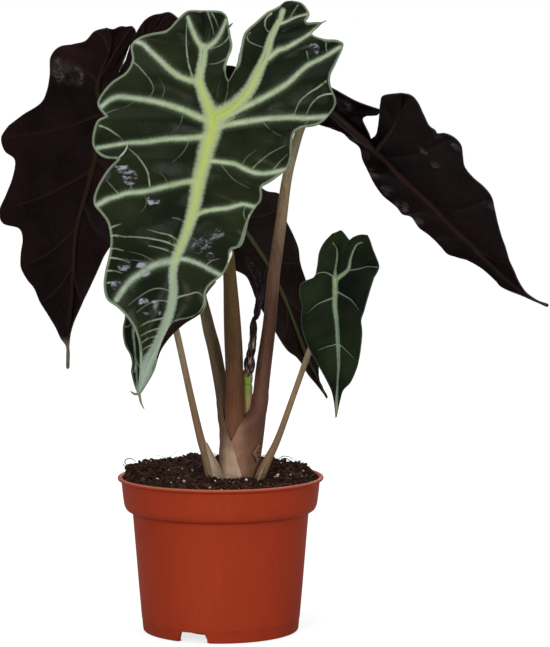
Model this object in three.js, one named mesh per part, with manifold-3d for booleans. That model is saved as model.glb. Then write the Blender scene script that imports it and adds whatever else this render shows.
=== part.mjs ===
// Potted alocasia polly: a nursery pot filled with peat soil, a crown of
// sheathing leaf stalks, six arrow-shaped leaves with waved edges and one
// withered shoot. Millimetres, Z up, front towards -Y.

import * as THREE from "three";
import Module from "manifold-3d";

const wasm = await Module();
wasm.setup();
const { Manifold, Mesh: SolidMesh } = wasm;

// Driving sizes

const LIP_DIAMETER = 120;
const POT_HEIGHT = 90;
const CLEARANCE = 0.3;
const BLADE_THICKNESS = 0.9;

// Front view of the plant. Leaves and stalks are laid out on a picture of the
// plant seen from an eye in front of it, and each gets its own depth behind
// or before the middle of the pot.

const LIP_WIDTH_IN_VIEW = 206;
const VIEW = {
  unit: LIP_DIAMETER / LIP_WIDTH_IN_VIEW,
  axisX: 220.5,
  horizonY: 120,
  eyeDistance: 1475,
  eyeHeight: 297,
};

function place([x, y], depth) {
  const scale = VIEW.unit * (1 + depth / VIEW.eyeDistance);
  return new THREE.Vector3(
    (x - VIEW.axisX) * scale,
    depth,
    VIEW.eyeHeight - (y - VIEW.horizonY) * scale,
  );
}

// Pot sizes

const POT = {
  lipRadius: LIP_DIAMETER / 2,
  lipHeight: 3.2,
  bandTopRadius: 57.9,
  bandBottomRadius: 56.5,
  bandBottomZ: 70,
  shoulder: 3.6,
  bodyTopRadius: 51.4,
  footRadius: 45.4,
  wall: 1.3,
  baseZ: 6.2,
  baseThickness: 1.5,
  centreRadius: 22,
  centreSlope: 1.4,
  sides: 48,
  notchCount: 3,
  firstNotch: -111,
  notchWidth: 19.4,
  notchTopWidth: 14.4,
  notchHeight: 6,
  drainRadius: 4,
  drainRing: 34,
};

// Soil sizes

const SOIL = {
  bottomZ: POT.baseZ + POT.baseThickness + CLEARANCE,
  wellZ: POT.baseThickness + CLEARANCE,
  frontZ: 87.5,
  backRise: 9,
  lump: 1.1,
  rings: 8,
  sides: 40,
};

// Stalk routes: picture point, depth and radius, from the soil up

const BURIED_Z = 62;

const STALKS = {
  a: [
    [237, 485, 0, 6.2], [236, 468, 0, 6.6], [236, 440, 0, 6.7], [235, 400, -2, 5.8],
    [234.6, 368, -4, 5.7], [233.2, 341, -6, 5.1], [231.5, 310, -9, 4.3],
    [229.7, 274, -13, 3.5], [226, 225, -21, 3.1], [220, 170, -31, 2.9],
    [215.5, 137, -38, 2.9], [213.3, 122, -44, 3.2], [212.5, 117, -50, 3.2],
  ],
  b: [
    [231, 482, 5, 4.6], [229, 455, 5, 4.9], [227, 430, 5, 4.5], [222.5, 395, 6, 4],
    [215, 352, 9, 3.7], [210, 330, 11, 3.5], [204, 306, 14, 3.2], [191, 262, 21, 2.9],
    [172, 212, 29, 2.7], [150, 165, 36, 2.6], [128, 131, 41, 2.6], [115, 118, 45, 2.8],
    [108, 113, 51, 2.8],
  ],
  c: [
    [249, 480, 1, 4], [253, 455, 1, 4.6], [257, 429, 2, 4.4], [263, 371, 5, 4.5],
    [269.2, 323, 8, 3.9], [273.4, 276, 12, 3.7], [280.4, 230, 17, 3.3], [287, 180, 24, 3],
    [294, 148, 31, 2.6], [301, 127, 36, 2.5], [309, 112, 41, 2.4], [320, 107, 46, 2.4],
    [333, 114, 49, 2.4], [352, 130.5, 52, 2.4], [366, 142.5, 57, 2.6], [375, 150, 64, 2.4],
  ],
  d: [
    [242, 480, 7, 4], [240, 450, 8, 4], [238, 405, 11, 3.2], [234, 350, 18, 2.8],
    [230, 290, 30, 2.6], [226, 240, 45, 2.5], [223, 205, 61, 2.5], [222, 193, 74, 2.5],
  ],
  e: [
    [258.5, 488, -9, 3.8], [260.5, 476, -9, 4.2], [266.5, 462, -9, 3.3], [278, 438, -10, 2.4],
    [294.7, 391, -12, 2.1], [308.6, 352, -14, 2.1], [322.5, 318, -16, 2.1], [332, 292, -20, 2.1],
    [335, 281, -25, 2.2], [335.5, 277, -29, 2.2],
  ],
  f: [
    [214, 486, -10, 4.4], [212, 472, -10, 4.7], [207, 455, -10, 3.5],
    [200.6, 437, -11, 2.8], [189.4, 391, -16, 2.4], [176.6, 332, -27, 2.2], [166.5, 293, -37, 2.2],
    [160, 271, -44, 2.1], [157.5, 264, -50, 2.1], [157, 261, -55, 2.1],
  ],
};

const YOUNG_SHEATH = [
  [243, 470, -4, 4.2], [245, 440, -5, 4.6], [246.5, 412, -5, 3.9], [247.6, 392, -5, 3.4],
  [248, 376, -5, 2.9],
];

const WITHERED_SHOOT = [
  [248.4, 375, -5, 2.3], [249.6, 362, -5, 2.5], [251.2, 348, -5, 2.3], [253, 336, -5, 2.2],
  [252.6, 326, -4, 2.4], [254.5, 318.5, -4, 1.5], [258, 312, -4, 2], [260.6, 301, -4, 1.7],
  [263, 289, -3, 1.4], [258.5, 278, -2, 1.9], [251.5, 268, -1, 1.7], [247, 258, 0, 0.8],
];

// Leaf outlines. A leaf has three ribs from its hub: the midrib and one up each
// basal lobe. Each row crosses a rib: the rib's x and y, then x, y and swell of
// the edge on its first side and on its second. Swell is 0 on a side vein and 1
// midway between two. The first side of a lobe rib faces the cleft.

const LEAVES = {
  a: {
    hub: [212.6, 120], tip: [138.5, 395], depth: -46, lean: -0.4, arch: 0.11, roll: 0.05,
    fold: -0.1, cup: 0.16, swell: 2.4, ruffle: 5, upperFront: true,
    midrib: [
      [212.6, 120, 107, 117, 0.7, 304, 127, 0.8], [211.7, 126, 98.5, 121, 0.8, 294, 133, 1],
      [210.2, 133, 94, 134, 0.5, 291.5, 146, 0.8], [208.5, 140, 94, 146, 0, 291, 158, 0.3],
      [207, 147, 101, 155, 0.2, 286.5, 169, 0], [205.5, 154, 110, 158.3, 0.6, 277, 177, 0.3],
      [203.8, 161, 119, 158.3, 0.9, 269, 182.5, 0.7], [202.3, 168, 109, 169, 0.9, 262, 187, 0.9],
      [200.8, 175, 100, 183, 0.6, 262, 194, 0.6], [199, 183, 95, 195, 0.1, 260.5, 201, 0.2],
      [197.3, 191, 95, 204, 0, 255, 208, 0], [195.4, 200, 101, 212, 0.3, 249, 219, 0.5],
      [193.2, 209, 108, 222, 0.7, 244.5, 232, 1], [190.5, 218, 111, 236, 1, 242, 240, 0.9],
      [187.5, 227, 110.5, 249, 0.9, 238, 247, 0.8], [184, 236, 108, 261, 0.7, 231, 250, 0.7],
      [180, 246, 106, 272, 0.5, 229.5, 261, 0.3], [176.4, 256, 105.5, 286, 0.2, 223, 274, 0],
      [174.4, 266, 110, 298, 0, 211, 284, 0.6], [173.5, 277, 119, 304, 0.2, 206, 292, 0.9],
      [173.7, 289, 127, 314, 0.6, 205, 304, 1], [171.8, 301, 134, 327, 0.9, 199.5, 313.5, 0.8],
      [168, 313, 138.5, 340, 1, 184, 323.5, 0.6], [163, 327, 140, 354, 0.8, 170, 336.5, 0.5],
      [157, 343, 139.8, 367, 0.5, 160, 351, 0.3], [150.5, 358, 139, 379, 0.2, 154, 370, 0.1],
      [144.5, 374, 138, 387.5, 0, 145, 386, 0], [138.5, 395, 138.5, 395, 0, 138.5, 395, 0],
    ],
    lobes: [
      [
        [212.6, 120, 229, 82, 0.5, 107, 117, 0.7], [210.5, 111, 226, 76, 0.8, 99, 106, 0],
        [207, 101, 226, 68, 1, 101, 97, 0.3], [203.5, 91, 229, 58, 0.8, 112, 83.5, 0.9],
        [200.8, 81, 232.5, 48, 0.5, 127, 73, 1], [200.8, 71, 231, 38, 0.2, 133, 61, 0.5],
        [202, 61, 229, 28, 0, 132, 47, 0.1], [203.5, 52, 227, 18, 0.3, 140, 38.5, 0.1],
        [204.3, 44, 222, 13, 0.6, 153, 34, 0.7], [204.5, 36, 215, 12, 0.8, 168, 31, 1],
        [204.2, 28, 210, 12, 0.8, 178, 21, 0.5], [203.6, 20, 206, 12, 0.7, 188, 12.5, 0],
        [202, 12.3, 202, 12.3, 0.5, 202, 12.3, 0.5],
      ],
      [
        [212.6, 120, 229, 82, 0.5, 304, 127, 0.8], [220, 115.5, 233, 75, 0.7, 318, 124.5, 0.3],
        [228, 110.5, 238, 64, 1, 329, 115, 0], [236, 104.5, 240, 53, 1, 335.5, 102, 0.4],
        [243, 97, 241.5, 45, 0.9, 330, 86, 0.9], [249, 88.5, 244, 35, 0.8, 330, 76, 1],
        [254.5, 79, 249, 29, 0.7, 336, 63, 0.5], [259.5, 69, 255, 24, 0.6, 342, 46, 0],
        [263.5, 60, 261, 18.5, 0.5, 336, 40.5, 0.5], [266.5, 52, 266, 14.2, 0.4, 323, 40, 0.7],
        [269, 45, 270.5, 11.6, 0.35, 311.5, 34.5, 0.5], [271, 38.5, 275, 9.6, 0.2, 321, 23.5, 0.1],
        [273, 32, 278.5, 7.6, 0.1, 306, 23, 0.6],
        [276.5, 22.5, 282, 5.5, 0, 309, 15.5, 0.2], [281, 12, 286, 3, 0.2, 302, 5, 0.5],
        [292, 2.5, 292, 2.5, 0.4, 292, 2.5, 0.4],
      ],
    ],
  },
  b: {
    hub: [108, 112], tip: [68, 367], depth: 46, lean: 0.22, arch: 0.05, roll: -0.55,
    fold: 0.12, cup: -0.1, swell: 2.2, ruffle: 6, upperFront: false,
    midrib: [
      [108, 112, 12, 127, 0.1, 205, 128, 0.5], [105, 123, 4, 138, 0, 196, 139, 0],
      [102, 135, 6.5, 150, 0.5, 184, 149, 0.6], [99.5, 147, 16.5, 159, 1, 174, 162, 1],
      [97, 158, 14.5, 176, 0.8, 165, 178, 0.5], [94, 169, 8, 193, 0.2, 157, 194, 0],
      [91, 180, 2, 209, 0, 145, 207, 0.5], [88, 191, 5.5, 221, 0.3, 133, 220, 1],
      [84.7, 202, 20, 227, 1, 122, 233, 0.5], [81.6, 213, 24, 238, 0.7, 112, 244, 0],
      [78.8, 225, 22, 252, 0.2, 105, 254, 0.3], [76.6, 238, 22, 266, 0, 100, 265, 0.8],
      [75.5, 251, 28, 278, 0.5, 95, 276, 1], [75, 264, 35, 287, 0.8, 89, 289, 0.6],
      [74.4, 277, 41, 301, 0.3, 83, 301, 0.1], [73.4, 290, 49, 314, 0.5, 78, 312, 0.4],
      [72, 303, 56, 326, 0.3, 74, 321, 0.4], [70.5, 317, 61, 337, 0.2, 71, 331, 0.3],
      [69, 332, 65.5, 347, 0.1, 69.5, 341, 0.1], [68.3, 348, 67.2, 357, 0, 69, 353, 0],
      [68, 367, 68, 367, 0, 68, 367, 0],
    ],
    lobes: [
      [
        [108, 112, 121, 70, 0.6, 12, 127, 0.1], [104, 104.5, 124, 62, 0.9, 28, 116, 0.5],
        [101, 97, 128, 53, 1, 44, 105, 0.7], [99.5, 90, 131, 45, 0.8, 50, 92, 1],
        [100.5, 82, 135.5, 36, 0.4, 54, 74, 0.7], [103, 74, 132, 28.5, 0.1, 53, 58, 0.1],
        [106, 66, 127, 27.5, 0.3, 60, 48, 0.2], [109, 58.5, 122, 27, 0.4, 73, 45, 0.8],
        [111, 50, 118, 28.5, 0.6, 86, 42, 0.6], [112, 41, 114, 30, 0.7, 96, 32, 0.1],
        [108, 29.2, 108, 29.2, 0.5, 108, 29.2, 0.5],
      ],
      [
        [108, 112, 121, 70, 0.6, 205, 128, 0.5], [115, 105, 126, 62, 0.9, 221, 113, 1],
        [122.5, 96, 130, 51, 0.8, 236, 97, 0.7], [130, 86, 134, 40, 0.5, 244, 80, 0.1],
        [137.5, 75, 139, 30.5, 0.3, 237, 68, 0.4], [143.5, 63, 144, 23, 0.2, 223, 65, 0.9],
        [148.5, 51, 149, 18.8, 0.4, 208, 52, 0.8], [153, 39, 153.5, 16.3, 0.6, 192, 34, 0.4],
        [157, 27, 157, 15, 0.6, 173, 14, 0.1], [163, 14.3, 163, 14.3, 0.4, 163, 14.3, 0.4],
      ],
    ],
  },
  c: {
    hub: [375, 150], tip: [548, 305], depth: 60, lean: 0.16, arch: 0.02, roll: -1.5,
    fold: -0.2, cup: 0.1, swell: 2.2, ruffle: 5, upperFront: false,
    midrib: [
      [375, 150, 436, 134, 0.5, 350, 139.5, 0.9], [383, 157.5, 442, 133, 0.2, 359, 147, 0.8],
      [391, 165, 452, 136.5, 0, 362, 159, 0.4], [400, 174, 460, 145, 0.2, 367.5, 170, 0],
      [409.5, 184, 462, 156, 0.6, 374, 183, 0.6], [418, 192, 464, 167, 1, 383, 195, 1],
      [426, 199.5, 472, 177, 0.7, 396, 206, 0.3], [434, 207, 483, 186.5, 0.2, 402, 213, 0.1],
      [442, 215.5, 491, 197, 0, 411, 216, 0.7], [450, 224, 494, 209, 0.4, 419, 227, 0.9],
      [458, 232, 497, 222, 0.9, 431, 236, 0.2], [467, 240, 501, 236, 0.8, 440, 245, 0.6],
      [476, 248.5, 505, 247, 0.4, 449, 254, 0.7], [486, 258.5, 509, 260, 0.2, 467, 259.5, 0.2],
      [496, 268, 514, 271, 0.4, 482, 268, 0.4], [507, 278, 519, 281, 0.3, 495, 279, 0.7],
      [518, 287, 526, 291, 0.1, 502, 286, 0.3], [530, 295.5, 536, 298.5, 0, 522, 294, 0.1],
      [548, 305, 548, 305, 0, 548, 305, 0],
    ],
    lobes: [
      [
        [375, 150, 371, 139, 0.6, 436, 134, 0.5], [381, 143, 376, 135, 0.8, 434, 130, 0.6],
        [387, 136, 378.5, 126, 1, 428, 125.5, 0.8], [392, 128.5, 380, 116, 0.8, 423, 115.5, 0.9],
        [396, 120.5, 382, 104, 0.3, 417, 103, 0.6], [399, 111, 385, 96.5, 0.4, 410, 96, 0.3],
        [400, 93.5, 400, 93.5, 0.6, 400, 93.5, 0.6],
      ],
      [
        [375, 150, 371, 139, 0.6, 350, 139.5, 0.9], [366, 143, 368, 133, 0.9, 338, 128.5, 0.5],
        [357, 136, 365, 127, 1, 324, 125.5, 0.1], [348, 129, 362, 120.5, 0.9, 311, 120, 0.2],
        [340, 123, 363, 117.5, 0.8, 302, 110, 0.6], [334, 116, 364.5, 116.2, 0.7, 300, 97, 0.9],
        [334, 110, 366, 115.7, 0.6, 307, 86, 0.5], [342, 107.5, 369, 115.4, 0.6, 319, 83, 0.2],
        [354, 110, 373, 115.2, 0.5, 333, 89, 0.6], [366, 111.5, 377, 114.8, 0.4, 356, 101.5, 1],
        [380, 110, 380, 110, 0.4, 380, 110, 0.4],
      ],
    ],
  },
  d: {
    hub: [222, 193], tip: [327, 397], depth: 70, lean: 0.2, arch: 0.04, roll: 0.45,
    fold: 0.1, cup: -0.1, swell: 1.8, ruffle: 4, upperFront: false,
    midrib: [
      [222, 193, 256, 182, 1, 183, 199, 0.1], [228, 203, 266, 190, 0.6, 189, 213, 0.2],
      [234.5, 213.5, 279, 193, 0.2, 197, 225, 0.8], [241, 224, 284, 205, 0, 205, 238, 0.7],
      [247.5, 234, 285.5, 218, 0.5, 214, 250, 0.1], [253.5, 243, 292, 232, 1, 224, 262, 0.3],
      [260, 252.5, 298, 247, 0.6, 235, 269, 0.9], [266, 262, 300, 262, 0.1, 246, 275, 0.6],
      [271.5, 272.5, 305, 277, 0.4, 251.5, 286, 0.1], [277, 283.5, 309, 290, 0.9, 256, 298, 0.4],
      [282, 294, 312, 303, 0.5, 263, 311, 0.9], [286.7, 305, 314, 316, 0, 272, 325, 0.5],
      [291, 316, 316, 330, 0.4, 280, 339, 0.1], [295.5, 328, 317, 343, 0.7, 288, 350, 0.5],
      [300.5, 341, 318, 354, 0.4, 296, 356, 0.7], [305.5, 354, 318.5, 365, 0.2, 302.5, 364, 0.4],
      [311.5, 367, 319.3, 376, 0.1, 308, 374, 0.2], [318.5, 380, 322, 387, 0, 315.5, 383.5, 0.1],
      [327, 397, 327, 397, 0, 327, 397, 0],
    ],
    lobes: [
      [
        [222, 193, 224, 168, 0.6, 256, 182, 1], [227, 186, 228, 162, 0.9, 258, 173, 0.7],
        [232.5, 178.5, 233, 157, 0.6, 256, 163, 0.2], [238, 170, 238.5, 154, 0.4, 250, 156, 0.3],
        [244, 153, 244, 153, 0.3, 244, 153, 0.3],
      ],
      [
        [222, 193, 224, 168, 0.6, 183, 199, 0.1], [216, 185.5, 219, 160, 0.9, 179, 185, 0.6],
        [210, 177, 212, 151, 0.5, 180, 170, 1], [204, 167, 204, 146, 0.3, 185, 155, 0.5],
        [195, 145, 195, 145, 0.3, 195, 145, 0.3],
      ],
    ],
  },
  e: {
    hub: [335, 279], tip: [336, 417], depth: -26, lean: -0.26, arch: 0.08, roll: -0.3,
    fold: -0.12, cup: 0.12, swell: 1.3, ruffle: 2.6, upperFront: true,
    midrib: [
      [335, 279, 306.5, 280, 0.5, 374, 277, 0.6], [335, 286, 300.5, 284, 0.5, 370.5, 288, 0.9],
      [335, 294, 299.4, 294, 0.7, 367, 300, 0.5], [335.3, 302, 302, 305, 0.4, 363, 311, 0.1],
      [336, 311, 301.3, 315, 0.2, 360, 320, 0.3], [336.8, 320, 301.5, 325, 0.5, 361, 331, 0.9],
      [337.5, 330, 304, 336, 0.8, 361.3, 344, 0.6], [338, 341, 309, 348, 0.3, 359, 360, 0],
      [338.4, 352, 315, 359, 0, 355.5, 372, 0.4], [338.5, 363, 321, 370, 0.5, 350.5, 382.5, 0.7],
      [338.3, 375, 327.5, 382, 0.8, 343, 390, 0.5], [337.6, 387, 332, 392, 0.4, 339.8, 399, 0.2],
      [336.8, 400, 334.7, 404, 0.1, 338, 408, 0.1], [336, 417, 336, 417, 0, 336, 417, 0],
    ],
    lobes: [
      [
        [335, 279, 349.6, 240, 0.5, 306.5, 280, 0.5], [336.5, 270, 347, 236.5, 0.6, 314, 276.5, 0.5],
        [337.5, 261, 344, 232.5, 0.5, 317, 266, 0.7], [337, 252, 341, 230, 0.3, 319, 252, 0.8],
        [335, 244, 337, 231.5, 0.2, 324.5, 241.5, 0.4], [332.5, 233.5, 332.5, 233.5, 0.2, 332.5, 233.5, 0.2],
      ],
      [
        [335, 279, 349.6, 240, 0.5, 374, 277, 0.6], [340.5, 274, 351.5, 238, 0.6, 377.5, 271, 0.4],
        [346, 268.5, 354, 236.2, 0.6, 379, 265, 0.1], [350, 260.5, 357.5, 234.8, 0.4, 376.5, 257.5, 0.6],
        [354, 251.5, 361, 234.2, 0.2, 373, 249, 0.5], [358.5, 244.5, 363.5, 234.3, 0.1, 370, 240, 0.2],
        [367, 235.2, 367, 235.2, 0.1, 367, 235.2, 0.1],
      ],
    ],
  },
  f: {
    hub: [157, 262], tip: [137.5, 391], depth: -48, lean: -0.3, arch: 0.02, roll: 0.6,
    fold: 0, cup: 0, swell: 1, ruffle: 1.6, upperFront: true,
    midrib: [
      [157, 262, 137, 255, 0.5, 173, 262, 0.4], [153.5, 270, 130, 265, 0.9, 174, 271, 0.7],
      [150, 279, 127.5, 276, 0.5, 171, 281, 0.6], [146.5, 288, 127, 287, 0, 167, 291, 0.2],
      [143, 297, 128, 297, 0.4, 161.5, 301, 0.5], [139.5, 306, 126.5, 307, 0.9, 155, 311, 0.6],
      [136.3, 315, 125.3, 317, 0.5, 149.5, 321, 0.1], [134, 324, 123.5, 326, 0.1, 146, 331, 0.4],
      [133, 333, 123.4, 335, 0.3, 144.5, 341, 0.6], [133.7, 342, 125.5, 345, 0.8, 143.5, 350, 0.5],
      [134.6, 351, 130, 353.5, 0.9, 142.5, 360, 0.2], [135.4, 360, 132, 362, 0.5, 141.5, 369, 0.1],
      [136, 370, 131.2, 371, 0.2, 140.3, 377, 0.1], [136.5, 380, 133.6, 382, 0.3, 139, 385, 0],
      [137.5, 391, 137.5, 391, 0, 137.5, 391, 0],
    ],
    lobes: [
      [
        [157, 262, 159, 253, 0.5, 137, 255, 0.5], [154.5, 258, 157, 250, 0.6, 139, 250.5, 0.3],
        [151.5, 254, 153.5, 248, 0.4, 142.5, 248, 0.2], [147, 247, 147, 247, 0.3, 147, 247, 0.3],
      ],
      [
        [157, 262, 159, 253, 0.5, 173, 262, 0.4], [160.5, 258.5, 161.5, 250.5, 0.6, 174, 257, 0.3],
        [164, 255.5, 165, 249.5, 0.4, 172, 252.5, 0.2], [169, 250, 169, 250, 0.2, 169, 250, 0.2],
      ],
    ],
  },
};

const LEAF_STEPS = {
  a: { along: 1, across: 6 },
  b: { along: 1, across: 6 },
  c: { along: 1, across: 5 },
  d: { along: 1, across: 5 },
  e: { along: 1, across: 5 },
  f: { along: 1, across: 4 },
};

// Colours

const LOOKS = {
  pot: { color: 0x9c3a22, roughness: 0.5, metalness: 0 },
  soil: { color: 0x2a1f19, roughness: 1, metalness: 0 },
  stalk: { color: 0x5d3b2c, roughness: 0.6, metalness: 0 },
  tan: { color: 0x8f7455, roughness: 0.6, metalness: 0 },
  green: { color: 0x1f2c1a, roughness: 0.35, metalness: 0 },
  maroon: { color: 0x24161a, roughness: 0.5, metalness: 0 },
  withered: { color: 0x1c1216, roughness: 0.35, metalness: 0 },
};

function look(name) {
  return new THREE.MeshStandardMaterial(LOOKS[name]);
}

// Small helpers

function smooth(a, b, c, d, t) {
  const t2 = t * t;
  const t3 = t2 * t;
  const pull = 2 * b + (c - a) * t + (2 * a - 5 * b + 4 * c - d) * t2;
  return 0.5 * (pull + (3 * b - a - 3 * c + d) * t3);
}

function refine(rows, steps) {
  const out = [];
  const last = rows.length - 1;
  for (let i = 0; i < last; i += 1) {
    const a = rows[Math.max(i - 1, 0)];
    const d = rows[Math.min(i + 2, last)];
    for (let k = 0; k < steps; k += 1) {
      out.push(rows[i].map((b, n) => smooth(a[n], b, rows[i + 1][n], d[n], k / steps)));
    }
  }
  out.push(rows[last].slice());
  return out;
}

function toSolid(points, faces) {
  const mesh = new SolidMesh({
    numProp: 3,
    vertProperties: Float32Array.from(points.flatMap((p) => [p.x, p.y, p.z])),
    triVerts: Uint32Array.from(faces.flat()),
  });
  mesh.merge();
  return new Manifold(mesh);
}

function largest(solid) {
  const pieces = solid.decompose();
  pieces.sort((p, q) => q.volume() - p.volume());
  return pieces[0];
}

function toMesh(solid, name, lookName) {
  const data = solid.getMesh();
  const step = data.numProp;
  const positions = new Float32Array(data.numVert * 3);
  for (let i = 0; i < data.numVert; i += 1) {
    positions[3 * i] = data.vertProperties[step * i];
    positions[3 * i + 1] = data.vertProperties[step * i + 1];
    positions[3 * i + 2] = data.vertProperties[step * i + 2];
  }
  const geometry = new THREE.BufferGeometry();
  geometry.setAttribute("position", new THREE.BufferAttribute(positions, 3));
  geometry.setIndex(new THREE.BufferAttribute(Uint32Array.from(data.triVerts), 1));
  geometry.computeVertexNormals();
  const mesh = new THREE.Mesh(geometry, look(lookName));
  mesh.name = name;
  return mesh;
}

// A solid turned about the pot's axis from a closed outline of [radius, z]

function turned(outline, sides) {
  const points = [];
  const faces = [];
  const rows = outline.map(([radius, z]) => {
    const first = points.length;
    const count = radius > 0 ? sides : 1;
    for (let i = 0; i < count; i += 1) {
      const angle = (2 * Math.PI * i) / sides;
      points.push(new THREE.Vector3(radius * Math.cos(angle), radius * Math.sin(angle), z));
    }
    return { first, count };
  });
  for (let r = 0; r < rows.length - 1; r += 1) {
    for (let i = 0; i < sides; i += 1) {
      const at = (row, k) => row.first + (row.count > 1 ? k % sides : 0);
      const [low, high] = [rows[r], rows[r + 1]];
      const quad = [at(low, i), at(low, i + 1), at(high, i + 1), at(high, i)];
      if (low.count > 1) {
        faces.push([quad[0], quad[1], quad[2]]);
      }
      if (high.count > 1) {
        faces.push([quad[0], quad[2], quad[3]]);
      }
    }
  }
  return toSolid(points, faces);
}

// Stalks: a tube along a smooth route, each ring square to the route

function tube(route, { grow = 0, sides = 10, steps = 1, bury = false } = {}) {
  const rows = refine(route, steps).map(([x, y, depth, radius]) => {
    return { at: place([x, y], depth), radius: radius + grow };
  });
  if (bury) {
    const foot = rows[0].at.clone();
    foot.z = BURIED_Z - grow;
    rows.unshift({ at: foot, radius: rows[0].radius * 0.8 });
  }
  const points = [];
  const faces = [];
  let side = new THREE.Vector3(1, 0, 0);
  rows.forEach((row, r) => {
    const before = rows[Math.max(r - 1, 0)].at;
    const after = rows[Math.min(r + 1, rows.length - 1)].at;
    const along = after.clone().sub(before).normalize();
    side.addScaledVector(along, -side.dot(along)).normalize();
    const other = along.clone().cross(side);
    for (let i = 0; i < sides; i += 1) {
      const angle = (2 * Math.PI * i) / sides;
      const point = row.at.clone();
      point.addScaledVector(side, row.radius * Math.cos(angle));
      point.addScaledVector(other, row.radius * Math.sin(angle));
      points.push(point);
    }
  });
  for (let r = 0; r < rows.length - 1; r += 1) {
    for (let i = 0; i < sides; i += 1) {
      const a = r * sides + i;
      const b = r * sides + ((i + 1) % sides);
      faces.push([a, b, b + sides], [a, b + sides, a + sides]);
    }
  }
  const end = (rows.length - 1) * sides;
  for (let i = 1; i < sides - 1; i += 1) {
    faces.push([0, i + 1, i], [end, end + i, end + i + 1]);
  }
  return toSolid(points, faces);
}

// Leaf blades

function leafDepth(leaf, [x, y]) {
  const { unit } = VIEW;
  const axis = new THREE.Vector2(leaf.tip[0] - leaf.hub[0], leaf.hub[1] - leaf.tip[1]);
  axis.normalize();
  const offset = new THREE.Vector2((x - leaf.hub[0]) * unit, (leaf.hub[1] - y) * unit);
  const along = offset.dot(axis);
  const across = offset.x * -axis.y + offset.y * axis.x;
  const width = Math.abs(across);
  const bend = (leaf.arch * along * along + leaf.cup * across * across) / 100;
  return leaf.depth + leaf.lean * along + bend + leaf.roll * across + leaf.fold * width;
}

function bladePoint(leaf, rib, edge, swell, t) {
  const point = [rib[0] + (edge[0] - rib[0]) * t, rib[1] + (edge[1] - rib[1]) * t];
  const towardUpper = leaf.upperFront ? -1 : 1;
  const arched = leaf.swell * swell * Math.sin(0.9 * Math.PI * t);
  const waved = leaf.ruffle * (swell - 0.5) * t * t;
  return place(point, leafDepth(leaf, point) + towardUpper * (arched + waved));
}

function bladeSheet(leaf, steps) {
  const points = [];
  const faces = [];
  const known = new Map();
  const index = (p) => {
    const key = [p.x, p.y, p.z].map((v) => v.toFixed(3)).join(" ");
    if (!known.has(key)) {
      known.set(key, points.length);
      points.push(p);
    }
    return known.get(key);
  };
  const half = (rows, at, flip) => {
    const grid = rows.map((row) => {
      const line = [];
      for (let k = 0; k <= steps.across; k += 1) {
        const t = k / steps.across;
        line.push(index(bladePoint(leaf, row, row.slice(at, at + 2), row[at + 2], t)));
      }
      return line;
    });
    for (let r = 0; r < grid.length - 1; r += 1) {
      for (let k = 0; k < steps.across; k += 1) {
        const quad = [grid[r][k], grid[r][k + 1], grid[r + 1][k + 1], grid[r + 1][k]];
        [[quad[0], quad[1], quad[2]], [quad[0], quad[2], quad[3]]].forEach((face) => {
          if (new Set(face).size === 3) {
            faces.push(flip ? face.reverse() : face);
          }
        });
      }
    }
  };
  const midrib = refine(leaf.midrib, steps.along);
  const [first, second] = leaf.lobes.map((rows) => refine(rows, steps.along));
  const handed = Math.sign(turnOf(leaf)) > 0;
  half(midrib, 2, handed);
  half(midrib, 5, !handed);
  half(first, 2, handed);
  half(first, 5, !handed);
  half(second, 2, !handed);
  half(second, 5, handed);
  return { points, faces };
}

// Which way round the first edge of the midrib lies, seen from the front

function turnOf(leaf) {
  const [hub, edge] = [leaf.midrib[0], leaf.midrib[0].slice(2)];
  const along = [leaf.tip[0] - hub[0], hub[1] - leaf.tip[1]];
  const across = [edge[0] - hub[0], hub[1] - edge[1]];
  return along[0] * across[1] - along[1] * across[0];
}

function blade(leaf, steps, thickness) {
  const { points, faces } = bladeSheet(leaf, steps);
  const normals = points.map(() => new THREE.Vector3());
  const edges = new Map();
  faces.forEach((face) => {
    const [a, b, c] = face.map((i) => points[i]);
    const normal = b.clone().sub(a).cross(c.clone().sub(a));
    face.forEach((i) => normals[i].add(normal));
    face.forEach((from, k) => {
      const to = face[(k + 1) % 3];
      edges.set(`${from} ${to}`, [from, to]);
    });
  });
  normals.forEach((normal) => normal.normalize());
  const count = points.length;
  const front = points.map((p, i) => p.clone().addScaledVector(normals[i], thickness / 2));
  const back = points.map((p, i) => p.clone().addScaledVector(normals[i], -thickness / 2));
  const shell = faces.map((face) => face.slice());
  faces.forEach(([a, b, c]) => shell.push([a + count, c + count, b + count]));
  edges.forEach(([from, to]) => {
    if (!edges.has(`${to} ${from}`)) {
      shell.push([from, from + count, to + count], [from, to + count, to]);
    }
  });
  return toSolid([...front, ...back], shell);
}

// Pot

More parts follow.
